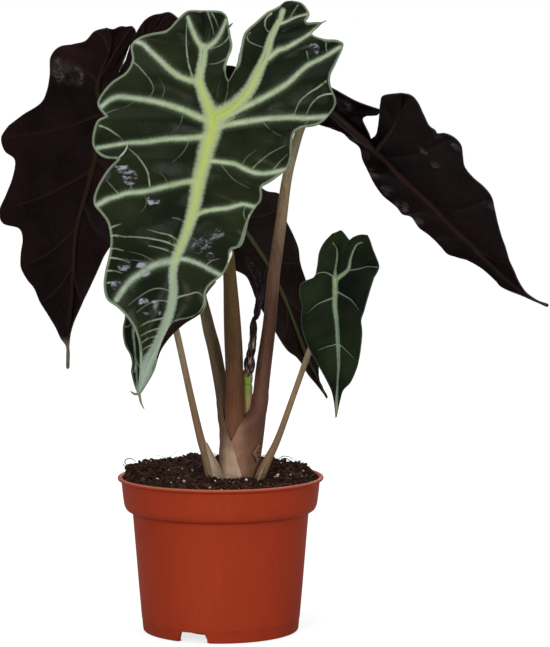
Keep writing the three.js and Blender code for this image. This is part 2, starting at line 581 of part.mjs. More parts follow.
function potShell() {
  const { lipRadius, lipHeight, bandTopRadius, bandBottomRadius, bandBottomZ } = POT;
  const { shoulder, bodyTopRadius, footRadius, wall, baseZ, baseThickness } = POT;
  const { centreRadius, centreSlope } = POT;
  const lipZ = POT_HEIGHT - lipHeight;
  const floorZ = baseZ + baseThickness;
  const bodyAt = (z) => footRadius + ((bodyTopRadius - footRadius) * z) / bandBottomZ;
  const outline = [
    [footRadius - wall - 0.9, 0], [footRadius - 1, 0], [footRadius - 0.1, 0.9],
    [bodyAt(7), 7], [bodyTopRadius, bandBottomZ - 0.6],
    [bodyTopRadius + 0.7, bandBottomZ], [bandBottomRadius - 2, bandBottomZ + 0.5],
    [bandBottomRadius, bandBottomZ + shoulder], [bandTopRadius, lipZ - 0.4],
    [lipRadius - 0.6, lipZ], [lipRadius, lipZ + 1], [lipRadius, POT_HEIGHT - 1],
    [lipRadius - 0.8, POT_HEIGHT], [bandTopRadius - wall + 0.8, POT_HEIGHT],
    [bandTopRadius - wall, POT_HEIGHT - 0.8],
    [bandBottomRadius - wall, bandBottomZ + shoulder + 0.4],
    [bandBottomRadius - 2.9, bandBottomZ + 2], [bodyTopRadius - wall, bandBottomZ + 0.9],
    [bodyAt(floorZ) - wall, floorZ],
    [centreRadius, floorZ], [centreRadius - centreSlope, baseThickness], [0, baseThickness],
    [0, 0], [centreRadius, 0], [centreRadius + centreSlope, baseZ],
    [bodyAt(baseZ) - wall - 0.5, baseZ],
    [footRadius - wall - 0.9, 0],
  ];
  let shell = turned(outline, POT.sides);
  const cutters = [];
  for (let i = 0; i < POT.notchCount; i += 1) {
    const angle = POT.firstNotch + (360 * i) / POT.notchCount;
    cutters.push(footNotch(angle), drainHole(angle));
  }
  shell = shell.subtract(Manifold.union(cutters));
  return shell;
}

function footNotch(angle) {
  const [low, high] = [POT.notchWidth / 2, POT.notchTopWidth / 2];
  const shape = [
    [-low, -1], [low, -1], [low, 0], [high + 0.8, POT.notchHeight - 0.6],
    [high, POT.notchHeight], [-high, POT.notchHeight],
    [-high - 0.8, POT.notchHeight - 0.6], [-low, 0],
  ];
  const [near, far] = [POT.footRadius - 8, POT.footRadius + 4];
  const points = [];
  [near, far].forEach((x) => {
    shape.forEach(([y, z]) => points.push(new THREE.Vector3(x, y, z)));
  });
  const count = shape.length;
  const faces = [];
  for (let i = 0; i < count; i += 1) {
    const next = (i + 1) % count;
    faces.push([i, next, next + count], [i, next + count, i + count]);
  }
  for (let i = 1; i < count - 1; i += 1) {
    faces.push([0, i + 1, i], [count, count + i, count + i + 1]);
  }
  const solid = toSolid(points, faces);
  return solid.rotate([0, 0, angle]);
}

function drainHole(angle) {
  const { drainRadius, drainRing, baseZ, baseThickness } = POT;
  const [low, high] = [baseZ - 1, baseZ + baseThickness + 1];
  const outline = [[0, low], [drainRadius, low], [drainRadius, high], [0, high]];
  const solid = turned(outline, 16);
  return solid.translate([drainRing, 0, 0]).rotate([0, 0, angle]);
}

// Soil: a plug that fills the pot, mounded towards the back, with lumps

function soilTop(x, y, reach) {
  const back = THREE.MathUtils.smoothstep(y, -30, 34);
  const lumps = Math.sin(x * 0.31 + 1.7) * Math.sin(y * 0.27 + 0.4)
    + 0.6 * Math.sin(x * 0.62 - y * 0.41) + 0.4 * Math.cos(y * 0.83 + x * 0.2);
  const crest = SOIL.backRise * back * (1 - 0.45 * reach ** 4);
  return SOIL.frontZ + crest + SOIL.lump * lumps * (1 - 0.5 * reach ** 6);
}

function soilPlug() {
  const { bodyTopRadius, footRadius, wall, bandBottomZ, bandBottomRadius, shoulder } = POT;
  const inner = (z) => footRadius + ((bodyTopRadius - footRadius) * z) / bandBottomZ - wall;
  const points = [];
  const faces = [];
  const topRadius = POT.bandTopRadius - wall - CLEARANCE - 0.5;
  const rings = [
    { radius: 0, z: SOIL.wellZ },
    { radius: POT.centreRadius - POT.centreSlope - CLEARANCE - 0.2, z: SOIL.wellZ },
    { radius: POT.centreRadius - CLEARANCE - 0.2, z: SOIL.bottomZ },
    { radius: inner(SOIL.bottomZ) - CLEARANCE, z: SOIL.bottomZ },
    { radius: inner(bandBottomZ) - CLEARANCE - 0.15, z: bandBottomZ + 1.2 },
    { radius: bandBottomRadius - 3.4, z: bandBottomZ + 2.5 },
    { radius: bandBottomRadius - wall - CLEARANCE - 0.2, z: bandBottomZ + shoulder + 0.9 },
  ];
  for (let i = SOIL.rings; i >= 0; i -= 1) {
    rings.push({ radius: (topRadius * i) / SOIL.rings, top: true });
  }
  const rows = rings.map(({ radius, z, top }) => {
    const first = points.length;
    const count = radius > 0 ? SOIL.sides : 1;
    for (let i = 0; i < count; i += 1) {
      const angle = (2 * Math.PI * i) / SOIL.sides;
      const [x, y] = [radius * Math.cos(angle), radius * Math.sin(angle)];
      points.push(new THREE.Vector3(x, y, top ? soilTop(x, y, radius / topRadius) : z));
    }
    return { first, count };
  });
  for (let r = 0; r < rows.length - 1; r += 1) {
    const at = (row, k) => row.first + (row.count > 1 ? k % SOIL.sides : 0);
    for (let i = 0; i < SOIL.sides; i += 1) {
      const [low, high] = [rows[r], rows[r + 1]];
      if (low.count > 1) {
        faces.push([at(low, i), at(low, i + 1), at(high, i + 1)]);
      }
      if (high.count > 1) {
        faces.push([at(low, i), at(high, i + 1), at(high, i)]);
      }
    }
  }
  return toSolid(points, faces);
}

// Assembly

export function build() {
  const group = new THREE.Group();
  group.name = "potted_alocasia_polly";

  const shell = potShell();
  const clumpParts = (grow) => {
    const parts = ["a", "b", "c", "d"].map((key) => tube(STALKS[key], { grow, bury: true }));
    parts.push(tube(YOUNG_SHEATH, { grow, bury: true }));
    return Manifold.union(parts);
  };

  const blades = {};
  const clearBlades = [];
  Object.entries(LEAVES).forEach(([key, leaf]) => {
    blades[key] = blade(leaf, LEAF_STEPS[key], BLADE_THICKNESS);
    clearBlades.push(blade(leaf, LEAF_STEPS[key], BLADE_THICKNESS + 2 * CLEARANCE));
  });

  const clearAll = Manifold.union(clearBlades);
  const clump = largest(clumpParts(0).subtract(clearAll));
  const clearClump = clumpParts(CLEARANCE);
  const stalkE = largest(
    tube(STALKS.e, { bury: true }).subtract(clearAll).subtract(clearClump),
  );
  const stalkF = largest(
    tube(STALKS.f, { bury: true }).subtract(clearAll).subtract(clearClump),
  );
  const clearOthers = Manifold.union([
    clearClump,
    tube(STALKS.e, { grow: CLEARANCE, bury: true }),
    tube(STALKS.f, { grow: CLEARANCE, bury: true }),
  ]);
  const soil = largest(soilPlug().subtract(clearOthers));
  const withered = largest(
    tube(WITHERED_SHOOT, { sides: 8 }).subtract(clearOthers).subtract(clearAll),
  );

  group.add(toMesh(shell, "pot", "pot"));
  group.add(toMesh(soil, "soil", "soil"));
  group.add(toMesh(clump, "stalk_clump", "stalk"));
  group.add(toMesh(stalkE, "stalk_e", "tan"));
  group.add(toMesh(stalkF, "stalk_f", "tan"));
  group.add(toMesh(withered, "withered_shoot", "withered"));
  Object.entries(blades).forEach(([key, solid]) => {
    group.add(toMesh(solid, `leaf_${key}`, LEAVES[key].upperFront ? "green" : "maroon"));
  });
  return group;
}

export default build();
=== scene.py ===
"""Potted alocasia polly: its leaves, stalks, soil and pot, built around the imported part.

The leaves and stalks are laid out on a front view of the plant, as a maker traces a pattern
from a drawing. Each gets its own depth before or behind the middle of the pot. Metres, Z up,
front towards -Y.
"""

import logging
import math
import random
from contextlib import contextmanager
from dataclasses import dataclass, field
from enum import Enum
from typing import Iterable, Iterator, Sequence

import bpy
import numpy as np
from mathutils import Euler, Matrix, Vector, noise
from mathutils.kdtree import KDTree


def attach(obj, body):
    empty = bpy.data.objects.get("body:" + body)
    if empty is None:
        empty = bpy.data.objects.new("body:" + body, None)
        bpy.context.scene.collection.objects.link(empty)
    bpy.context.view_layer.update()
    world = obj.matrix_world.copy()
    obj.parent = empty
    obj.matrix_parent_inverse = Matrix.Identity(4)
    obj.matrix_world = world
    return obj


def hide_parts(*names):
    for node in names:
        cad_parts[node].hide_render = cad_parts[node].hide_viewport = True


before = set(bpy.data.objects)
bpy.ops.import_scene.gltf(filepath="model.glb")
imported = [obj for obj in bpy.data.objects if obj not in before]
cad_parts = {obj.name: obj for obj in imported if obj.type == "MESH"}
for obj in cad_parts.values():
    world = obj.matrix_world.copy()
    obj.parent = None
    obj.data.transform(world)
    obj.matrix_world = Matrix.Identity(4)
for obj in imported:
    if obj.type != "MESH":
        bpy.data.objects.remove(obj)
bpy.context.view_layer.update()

log = logging.getLogger("potted_alocasia")
Spot = tuple[float, float]
Row = tuple[float, ...]
MM = 0.001


def tone(red: int, green: int, blue: int) -> tuple[float, float, float, float]:
    """Turns a display colour, 0 to 255 a channel, into the linear colour of a shader.

    Args:
        red: the red of 0 to 255.
        green: the green.
        blue: the blue.

    Returns:
        Red, green, blue and alpha of 0 to 1.
    """
    linear = [(c / 255 / 12.92) if c <= 10 else ((c / 255 + 0.055) / 1.055) ** 2.4
              for c in (red, green, blue)]
    return (linear[0], linear[1], linear[2], 1.0)


def shades(*rows: Row) -> tuple[tuple[float, tuple], ...]:
    """Pairs each height with its colour.

    Args:
        rows: a height in metres, and the red, green and blue there.

    Returns:
        The heights with their shader colours.
    """
    return tuple((row[0], tone(*row[1:])) for row in rows)


# Front view

@dataclass(frozen=True)
class FrontView:
    """The view of the plant that its leaves and stalks are laid out on.

    Fields: unit, metres for one step of the view at the pot's middle; axis_x, the pot's axis;
    horizon_y, the height of the eye in the view; eye_distance and eye_height, in metres.
    """

    unit: float = 0.120 / 206
    axis_x: float = 220.5
    horizon_y: float = 120.0
    eye_distance: float = 1.475
    eye_height: float = 0.297

    def place(self, spots: np.ndarray, depth: np.ndarray) -> np.ndarray:
        """Puts spots of the view in the room.

        Args:
            spots: x and y of each spot in the view, in the last axis.
            depth: how far each lies behind the pot's axis, in metres.

        Returns:
            The points in metres, in the last axis.
        """
        scale = self.unit * (1 + depth / self.eye_distance)
        x = (spots[..., 0] - self.axis_x) * scale
        z = self.eye_height - (spots[..., 1] - self.horizon_y) * scale
        return np.stack([x, depth, z], axis=-1)


VIEW = FrontView()


def refine(rows: Sequence[Row], steps: int) -> np.ndarray:
    """Draws a smooth line through rows of numbers.

    Args:
        rows: the rows that the line passes through.
        steps: how many parts each gap between two rows is cut into.

    Returns:
        The finer rows, with the given ones among them.
    """
    line = np.array(rows, float)
    padded = np.vstack([line[:1], line, line[-1:]])
    out = []
    for i in range(len(line) - 1):
        a, b, c, d = padded[i:i + 4]
        for k in range(steps):
            t = k / steps
            pull = 2 * b + (c - a) * t + (2 * a - 5 * b + 4 * c - d) * t * t
            out.append(0.5 * (pull + (3 * b - a - 3 * c + d) * t ** 3))
    out.append(line[-1])
    return np.array(out)


def ease(value: np.ndarray, low: float, high: float) -> np.ndarray:
    """Rises smoothly from 0 at low to 1 at high."""
    t = np.clip((value - low) / (high - low), 0, 1)
    return t * t * (3 - 2 * t)


# Shader boards

class Wire:
    """A value on its way between shader nodes. Arithmetic on it adds Math nodes."""

    def __init__(self, board: "Board", socket: bpy.types.NodeSocket) -> None:
        """Keeps the board and the socket that the value leaves from."""
        self.board = board
        self.socket = socket

    def _math(self, operation: str, left: object, right: object) -> "Wire":
        """Adds one Math node on two values."""
        return self.board.add("ShaderNodeMath", {"operation": operation}, {0: left, 1: right})

    def __add__(self, other: object) -> "Wire":
        """Adds a value."""
        return self._math("ADD", self, other)

    def __sub__(self, other: object) -> "Wire":
        """Takes a value away."""
        return self._math("SUBTRACT", self, other)

    def __rsub__(self, other: object) -> "Wire":
        """Is taken away from a value."""
        return self._math("SUBTRACT", other, self)

    def __mul__(self, other: object) -> "Wire":
        """Multiplies by a value."""
        return self._math("MULTIPLY", self, other)

    def __truediv__(self, other: object) -> "Wire":
        """Divides by a value."""
        return self._math("DIVIDE", self, other)

    def __pow__(self, other: object) -> "Wire":
        """Raises to a power."""
        return self._math("POWER", self, other)

    __radd__ = __add__
    __rmul__ = __mul__

    def over(self, other: object) -> "Wire":
        """Gives the larger of this and another value."""
        return self._math("MAXIMUM", self, other)

    def rise(self, low: float, high: float) -> "Wire":
        """Rises smoothly from 0 at low to 1 at high, or falls if low is above high.

        Args:
            low: the value that gives 0.
            high: the value that gives 1.

        Returns:
            The share of 0 to 1.
        """
        if low > high:
            return 1 - self.rise(high, low)
        settings = {"interpolation_type": "SMOOTHSTEP"}
        return self.board.add("ShaderNodeMapRange", settings, {0: self, 1: low, 2: high})


class Board:
    """The node board of one material."""

    def __init__(self, name: str) -> None:
        """Makes the material with an empty board.

        Args:
            name: the material's name.
        """
        self.material = bpy.data.materials.new(name)
        self.material.use_nodes = True
        self.tree = self.material.node_tree
        self.tree.nodes.clear()

    def add(self, kind: str, settings: dict[str, object] | None = None,
            sockets: dict[object, object] | None = None, out: object = 0) -> Wire:
        """Adds one node.

        Args:
            kind: the node's type.
            settings: the node's own settings, such as an operation, or a ramp's stops.
            sockets: a value or a wire for each input that isn't left alone.
            out: the output that is wanted.

        Returns:
            The wire from that output.
        """
        node = self.tree.nodes.new(kind)
        for key, value in (settings or {}).items():
            if key == "stops":
                ramp = node.color_ramp
                while len(ramp.elements) < len(value):
                    ramp.elements.new(0.5)
                for element, (at, colour) in zip(ramp.elements, value):
                    element.position = at
                    element.color = colour
            else:
                setattr(node, key, value)
        for key, value in (sockets or {}).items():
            if isinstance(value, Wire):
                self.tree.links.new(value.socket, node.inputs[key])
            else:
                node.inputs[key].default_value = value
        return Wire(self, node.outputs[out])

    def place(self) -> Wire:
        """Gives the place on the object, in metres."""
        return self.add("ShaderNodeTexCoord", out="Object")

    def stretched(self, x: float, y: float, z: float) -> Wire:
        """Gives the place on the object with each axis multiplied."""
        return self.add("ShaderNodeMapping", {}, {"Vector": self.place(), "Scale": (x, y, z)})

    def height(self) -> Wire:
        """Gives the height above the ground, in metres."""
        return self.add("ShaderNodeSeparateXYZ", {}, {0: self.place()}, "Z")

    def grain(self, scale: float, detail: float = 3, rough: float = 0.55,
              at: Wire | None = None) -> Wire:
        """Gives a cloudy grain of 0 to 1.

        Args:
            scale: how fine the grain is.
            detail: how many finer layers it has.
            rough: how strong the finer layers are.
            at: where it is read, or None for the place itself.

        Returns:
            The grain of 0 to 1.
        """
        sockets = {"Vector": at or self.place(), "Scale": scale, "Detail": detail,
                   "Roughness": rough}
        return self.add("ShaderNodeTexNoise", {}, sockets)

    def cells(self, scale: float, feature: str = "F1", at: Wire | None = None) -> Wire:
        """Gives the distance to the nearest of many scattered points."""
        sockets = {"Vector": at or self.place(), "Scale": scale}
        return self.add("ShaderNodeTexVoronoi", {"feature": feature}, sockets, "Distance")

    def blend(self, amount: object, first: object, second: object,
              way: str = "MIX") -> Wire:
        """Mixes two colours."""
        settings = {"data_type": "RGBA", "blend_type": way}
        return self.add("ShaderNodeMix", settings, {0: amount, 6: first, 7: second}, 2)

    def ramp(self, value: Wire, stops: Sequence[tuple[float, tuple]]) -> Wire:
        """Gives the colour that a run of colours has at a value."""
        return self.add("ShaderNodeValToRGB", {"stops": stops}, {0: value}, "Color")

    def spot(self, centre: tuple[float, float, float], near: float, far: float) -> Wire:
        """Gives 1 round a point of the object, falling to 0 far from it.

        Args:
            centre: the point, in metres.
            near: how far off it is still 1.
            far: how far off it is 0.

        Returns:
            The strength of 0 to 1.
        """
        settings = {"operation": "DISTANCE"}
        gap = self.add("ShaderNodeVectorMath", settings, {0: self.place(), 1: centre}, "Value")
        return gap.rise(far, near)

    def band(self, attribute: str, slack: float) -> Wire:
        """Gives the distance from a vein, with 1 at the vein's edge.

        Args:
            attribute: the mesh attribute with the way to the nearest vein.
            slack: how much the plain distance may be off between two points of the mesh.

        Returns:
            The distance, in half widths of the vein.
        """
        node = self.add("ShaderNodeAttribute", {"attribute_name": attribute}, {}, "Vector")
        parts = [self.add("ShaderNodeSeparateXYZ", {}, {0: node}, axis) for axis in "XYZ"]
        square = parts[0] * parts[0] + parts[1] * parts[1]
        return (square ** 0.5).over(parts[2] - slack)

    def fringe(self, attribute: str, reach: Wire) -> Wire:
        """Gives the hair-fine fringe along a vein.

        Args:
            attribute: the mesh attribute with the run along the nearest vein.
            reach: the distance from the vein.

        Returns:
            A value round 0 that changes quickly along the vein and slowly away from it.
        """
        run = self.value(attribute)
        at = self.add("ShaderNodeCombineXYZ", {}, {0: run * 0.75, 1: reach * 0.4})
        return (self.grain(1.0, 3, 0.7, at) - 0.5) * 2

    def streaks(self, scale: float, slant: float = 0.0) -> Wire:
        """Gives 1 in short ragged streaks from side to side, rising by slant to the right.

        Args:
            scale: how fine they are.
            slant: how steeply they rise to the right, in radians.

        Returns:
            The streaks of 0 to 1.
        """
        sockets = {"Vector": self.place(), "Scale": (2.9, 1, 1), "Rotation": (0, -slant, 0)}
        at = self.add("ShaderNodeMapping", {"vector_type": "TEXTURE"}, sockets)
        return self.grain(scale, 4, 0.66, at).rise(0.48, 0.6)

    def patches(self, places: Sequence[tuple[float, float, float, float]]) -> Wire:
        """Gives 1 in the middle of each patch, of x, y, z and radius in metres.

        Args:
            places: the patches.

        Returns:
            The strength of 0 to 1.
        """
        out = self.spot((9.0, 9.0, 9.0), 0.001, 0.002)
        for x, y, z, radius in places:
            out = out.over(self.spot((x, y, z), radius * 0.35, radius))
        return out

    def across(self) -> Wire:
        """Gives how far to the right a point of the object is, in metres."""
        return self.add("ShaderNodeSeparateXYZ", {}, {0: self.place()}, "X")

    def value(self, attribute: str) -> Wire:
        """Gives a plain value that the mesh carries."""
        return self.add("ShaderNodeAttribute", {"attribute_name": attribute}, {}, "Fac")

    def finish(self, sockets: dict[str, object], bump: Wire | None = None,
               lift: float = 0.0002, strength: float = 1.0) -> bpy.types.Material:
        """Ends the board with its surface.

        Args:
            sockets: values and wires for the surface shader.
            bump: the height of the small relief, if there is any.
            lift: how high a relief of 1 stands, in metres.
            strength: how strongly the relief shows.

        Returns:
            The finished material.
        """
        if bump is not None:
            given = {"Strength": strength, "Distance": lift, "Height": bump}
            sockets = {**sockets, "Normal": self.add("ShaderNodeBump", {}, given)}
        surface = self.add("ShaderNodeBsdfPrincipled", {}, sockets)
        output = self.tree.nodes.new("ShaderNodeOutputMaterial")
        self.tree.links.new(surface.socket, output.inputs["Surface"])
        return self.material


# Finishes

@dataclass(frozen=True)
class UpperFace:
    """The upper side of a blade: dark green between silver veins with feathered edges.

    Fields: the colours of the blade, of its silver and yellow veins, of its margin, of the
    silver low on the blade, of the painted dark reflection in the glossy patches, of the bright
    lines in the veins and of the painted glints; hem, the width of the pale margin line; polish,
    how glossy the blade is; patches, the place and radius of each glossy puckered patch, where
    glints and dark reflection are painted, in metres, and slanted, those of the patches whose
    streaks rise to the right.
    """

    name: str = "blade_upper"
    deep: tuple = tone(21, 27, 15)
    fresh: tuple = tone(36, 42, 23)
    silver: tuple = tone(162, 176, 150)
    cool: tuple = tone(112, 128, 102)
    yellow: tuple = tone(177, 191, 100)
    margin: tuple = tone(142, 156, 130)
    frost: tuple = tone(152, 169, 156)
    # Colour of the painted dark reflection in the glossy patches.
    gloss_and_painted_reflection: tuple = tone(13, 17, 13)
    bright: tuple = tone(196, 208, 186)
    # Colour of the painted glints.
    painted_glint_colour: tuple = tone(172, 176, 188)
    hem: float = 0.0018
    polish: float = 1.0
    patches: tuple[tuple[float, float, float, float], ...] = ()
    slanted: tuple[tuple[float, float, float, float], ...] = ()

    def material(self) -> bpy.types.Material:
        """Builds the material.

        Returns:
            The material.
        """
        b = Board(self.name)
        ragged = (b.grain(1300, 2, 0.6) - 0.5) * 1.2
        rib = b.band("rib_way", 0.5)
        side = b.band("side_way", 1.1)
        thread = b.band("thread_way", 1.7)
        rib_hair = b.fringe("rib_run", rib) + ragged * 0.5
        side_hair = b.fringe("side_run", side) + ragged * 0.6
        glow = b.value("rib_glow")
        power = b.value("thread_glow")
        edge = b.value("margin_gap")
        patch = b.grain(28, 3).rise(0.35, 0.7)
        colour = b.blend(patch, self.deep, self.fresh)
        halo = (side + side_hair).rise(3.6, 1.6).over((rib + rib_hair * 0.6).rise(2.6, 1.6))
        colour = b.blend(halo * 0.14, colour, self.cool)
        fine = (thread + ragged * 0.9).rise(1.9, 0.3) * power * b.grain(230, 2).rise(0.2, 0.52)
        colour = b.blend(fine, colour, self.silver)
        body = (side + side_hair * 0.9).rise(2.1, 1.0)
        colour = b.blend(body * 0.86, colour, self.cool)
        low = b.height().rise(0.25, 0.2) * self.polish
        silver = b.blend(low * 0.8, self.silver, self.frost)
        tint = b.blend(b.value("side_glow").rise(0.05, 0.6) * 0.35, silver, self.yellow)
        colour = b.blend((side + side_hair * 0.5).rise(1.5, 0.5) * 0.8, colour, tint)
        bright = (side + ragged * 0.5).rise(0.75, 0.25) * b.grain(170, 3).rise(0.38, 0.6)
        colour = b.blend(bright * 0.45, colour, self.bright)
        flank = b.blend(glow * 0.3, silver, self.yellow)
        colour = b.blend((rib + rib_hair * 0.7).rise(2.4, 1.1) * 0.92, colour, flank)
        core = b.blend(glow, silver, self.yellow)
        colour = b.blend((rib + rib_hair * 0.2).rise(1.15, 0.45), colour, core)
        line = (edge + ragged * 0.0004).rise(self.hem, self.hem * 0.4)
        colour = b.blend(line * 0.7, colour, self.margin)
        slanted = b.patches(self.slanted)
        gloss_and_painted_reflection = b.grain(60, 2).rise(0.66, 0.8) * 0.25 * self.polish
        gloss_and_painted_reflection = b.patches(self.patches).over(gloss_and_painted_reflection).over(slanted)
        streaks = b.streaks(230) * (1 - slanted) + b.streaks(190, 0.62) * slanted
        bare = (rib + rib_hair * 0.3).rise(1.3, 2.3) * side.rise(0.6, 1.8)
        # Painted reflection: the blade is painted darker round the glossy patches, off the veins.
        colour = b.blend(gloss_and_painted_reflection * bare * 0.5, colour, self.gloss_and_painted_reflection)
        # Painted highlight: pale glint streaks in the glossy patches, off the veins.
        glint = streaks * b.grain(120, 2).rise(0.34, 0.5) * gloss_and_painted_reflection.rise(0.1, 0.6) * bare
        colour = b.blend(glint * 0.8, colour, self.painted_glint_colour)
        crease = streaks * 0.5 + b.grain(190, 2)
        relief = side.rise(0.2, 3.0) * 1.2 + thread.rise(0.2, 2.0) * 0.5
        relief = relief + b.grain(420, 3) * 0.35 + b.grain(130, 2) * 0.7 + crease * gloss_and_painted_reflection * 1.6
        veins = body.over(rib.rise(1.9, 1.1))
        rough = b.grain(75, 3) * 0.14 + (0.5 - 0.28 * self.polish) + veins * 0.25
        sockets = {"Base Color": colour, "Roughness": rough, "Specular IOR Level": 0.055,
                   "Coat Weight": gloss_and_painted_reflection * (0.55 - veins * 0.4), "Coat Roughness": 0.16}
        return b.finish(sockets, relief, 0.00035, 0.75)


@dataclass(frozen=True)
class UnderFace:
    """The under side of a blade: near-black maroon with brown raised ribs.

    Fields: the colours of the blade, of its ribs, stem and veins, of its painted glints and of
    the painted sheen round them; patches, the place and radius of each glossy puckered patch,
    where sheen and glints are painted; tail, the height below which the tip is pale. Both are
    in metres.
    """

    name: str = "blade_under"
    deep: tuple = tone(19, 11, 12)
    warm: tuple = tone(36, 20, 21)
    rib: tuple = tone(58, 40, 31)
    stem: tuple = tone(70, 56, 40)
    vein: tuple = tone(44, 30, 27)
    # Colour of the painted glints.
    painted_glint_colour: tuple = tone(128, 112, 116)
    # Colour of the painted sheen.
    sheen: tuple = tone(62, 54, 56)
    patches: tuple[tuple[float, float, float, float], ...] = ()
    tail: float = 0.0

    def material(self) -> bpy.types.Material:
        """Builds the material.

        Returns:
            The material.
        """
        b = Board(self.name)
        ragged = b.grain(700, 2, 0.6) - 0.5
        rib = b.band("rib_way", 0.45)
        side = b.band("side_way", 1.1)
        thread = b.band("thread_way", 3.2)
        glow = b.value("rib_glow")
        patch = b.grain(34, 4).rise(0.3, 0.72)
        colour = b.blend(patch, self.deep, self.warm)
        mesh = b.cells(260, "DISTANCE_TO_EDGE").rise(0.09, 0.0)
        colour = b.blend(mesh * 0.25, colour, self.vein)
        colour = b.blend(thread.rise(1.4, 0.5) * 0.45, colour, self.vein)
        colour = b.blend((side + ragged * 0.5).rise(1.0, 0.3) * 0.75, colour, self.vein)
        core = b.blend(glow * 0.7, self.rib, self.stem)
        fade = glow.rise(-0.2, 0.45)
        colour = b.blend((rib + ragged * 0.3).rise(0.85, 0.55) * fade, colour, core)
        edge = b.value("margin_gap")
        colour = b.blend(edge.rise(0.0012, 0.0004) * 0.6, colour, self.vein)
        tail = b.height().rise(self.tail + 0.004, self.tail - 0.003)
        colour = b.blend(tail * 0.85, colour, tone(122, 116, 104))
        gloss_and_painted_reflection = b.patches(self.patches)
        uneven = b.grain(140, 3, 0.6, b.stretched(1, 1, 0.6)).rise(0.38, 0.62)
        # Painted sheen: a paler tone in the glossy patches.
        colour = b.blend(gloss_and_painted_reflection * uneven * 0.6, colour, self.sheen)
        streaks = b.streaks(420)
        # Painted highlight: glint streaks in the glossy patches.
        glint = streaks * b.grain(110, 2).rise(0.4, 0.6) * gloss_and_painted_reflection.rise(0.1, 0.9)
        colour = b.blend(glint * 0.5, colour, self.painted_glint_colour)
        relief = b.grain(380, 3) * 0.5 + thread.rise(2.2, 0.2) * 0.6 + mesh * 0.35
        relief = relief + streaks * gloss_and_painted_reflection
        rough = b.grain(60, 3) * 0.16 + 0.34
        sockets = {"Base Color": colour, "Roughness": rough, "Specular IOR Level": 0.035,
                   "Coat Weight": gloss_and_painted_reflection * uneven * 0.3, "Coat Roughness": 0.25}
        return b.finish(sockets, relief, 0.0003, 0.7)


@dataclass(frozen=True)
class Margin:
    """The thin pale rim between the two sides of a blade, paler below the height tail."""

    name: str = "blade_margin"
    pale: tuple = tone(128, 150, 112)
    dull: tuple = tone(80, 86, 62)
    tail: float = 0.0

    def material(self) -> bpy.types.Material:
        """Builds the material.

        Returns:
            The material.
        """
        b = Board(self.name)
        colour = b.blend(b.grain(160, 3).rise(0.35, 0.7), self.pale, self.dull)
        tail = b.height().rise(self.tail + 0.004, self.tail - 0.003)
        colour = b.blend(tail * 0.85, colour, tone(122, 116, 104))
        rough = b.grain(300, 2) * 0.2 + 0.4
        return b.finish({"Base Color": colour, "Roughness": rough}, b.grain(900, 2), 0.0001, 0.5)


@dataclass(frozen=True)
class Petiole:
    """A smooth leaf stalk, whose colour changes on its way up, with fine streaks.

    Fields: name; stops, the colours with the height in metres of each; streak, how strongly
    the streaks show; speck and dark, the colours of the small flecks and of the streaks; far,
    where from side to side the far end starts and is reached, and far_end, its colour.
    """

    name: str
    stops: tuple[tuple[float, tuple], ...]
    streak: float = 0.35
    speck: tuple = tone(60, 38, 26)
    dark: tuple = tone(48, 32, 24)
    far: tuple[float, float] = (1.0, 1.1)
    far_end: tuple = tone(46, 33, 32)

    def material(self) -> bpy.types.Material:
        """Builds the material.

        Returns:
            The material.
        """
        b = Board(self.name)
        low, high = self.stops[0][0], self.stops[-1][0]
        wander = (b.grain(60, 2, 0.5, b.stretched(1, 1, 0.35)) - 0.5) * 0.02
        reach = (b.height() + wander - low) / (high - low)
        stops = [((at - low) / (high - low), colour) for at, colour in self.stops]
        colour = b.ramp(reach, stops)
        colour = b.blend(b.across().rise(*self.far), colour, self.far_end)
        lines = b.grain(900, 3, 0.6, b.stretched(1, 1, 0.05))
        colour = b.blend(lines.rise(0.45, 0.7) * self.streak, colour, self.dark)
        cloud = b.grain(140, 3, 0.6, b.stretched(1, 1, 0.3)).rise(0.45, 0.75)
        colour = b.blend(cloud * 0.3, colour, self.speck)
        flecks = b.cells(520, at=b.stretched(1, 1, 0.4)).rise(0.22, 0.1)
        colour = b.blend(flecks * 0.4, colour, self.speck)
        rough = lines * 0.2 + 0.34
        sockets = {"Base Color": colour, "Roughness": rough, "Specular IOR Level": 0.12}
        return b.finish(sockets, lines + cloud * 0.4, 0.00022, 0.6)


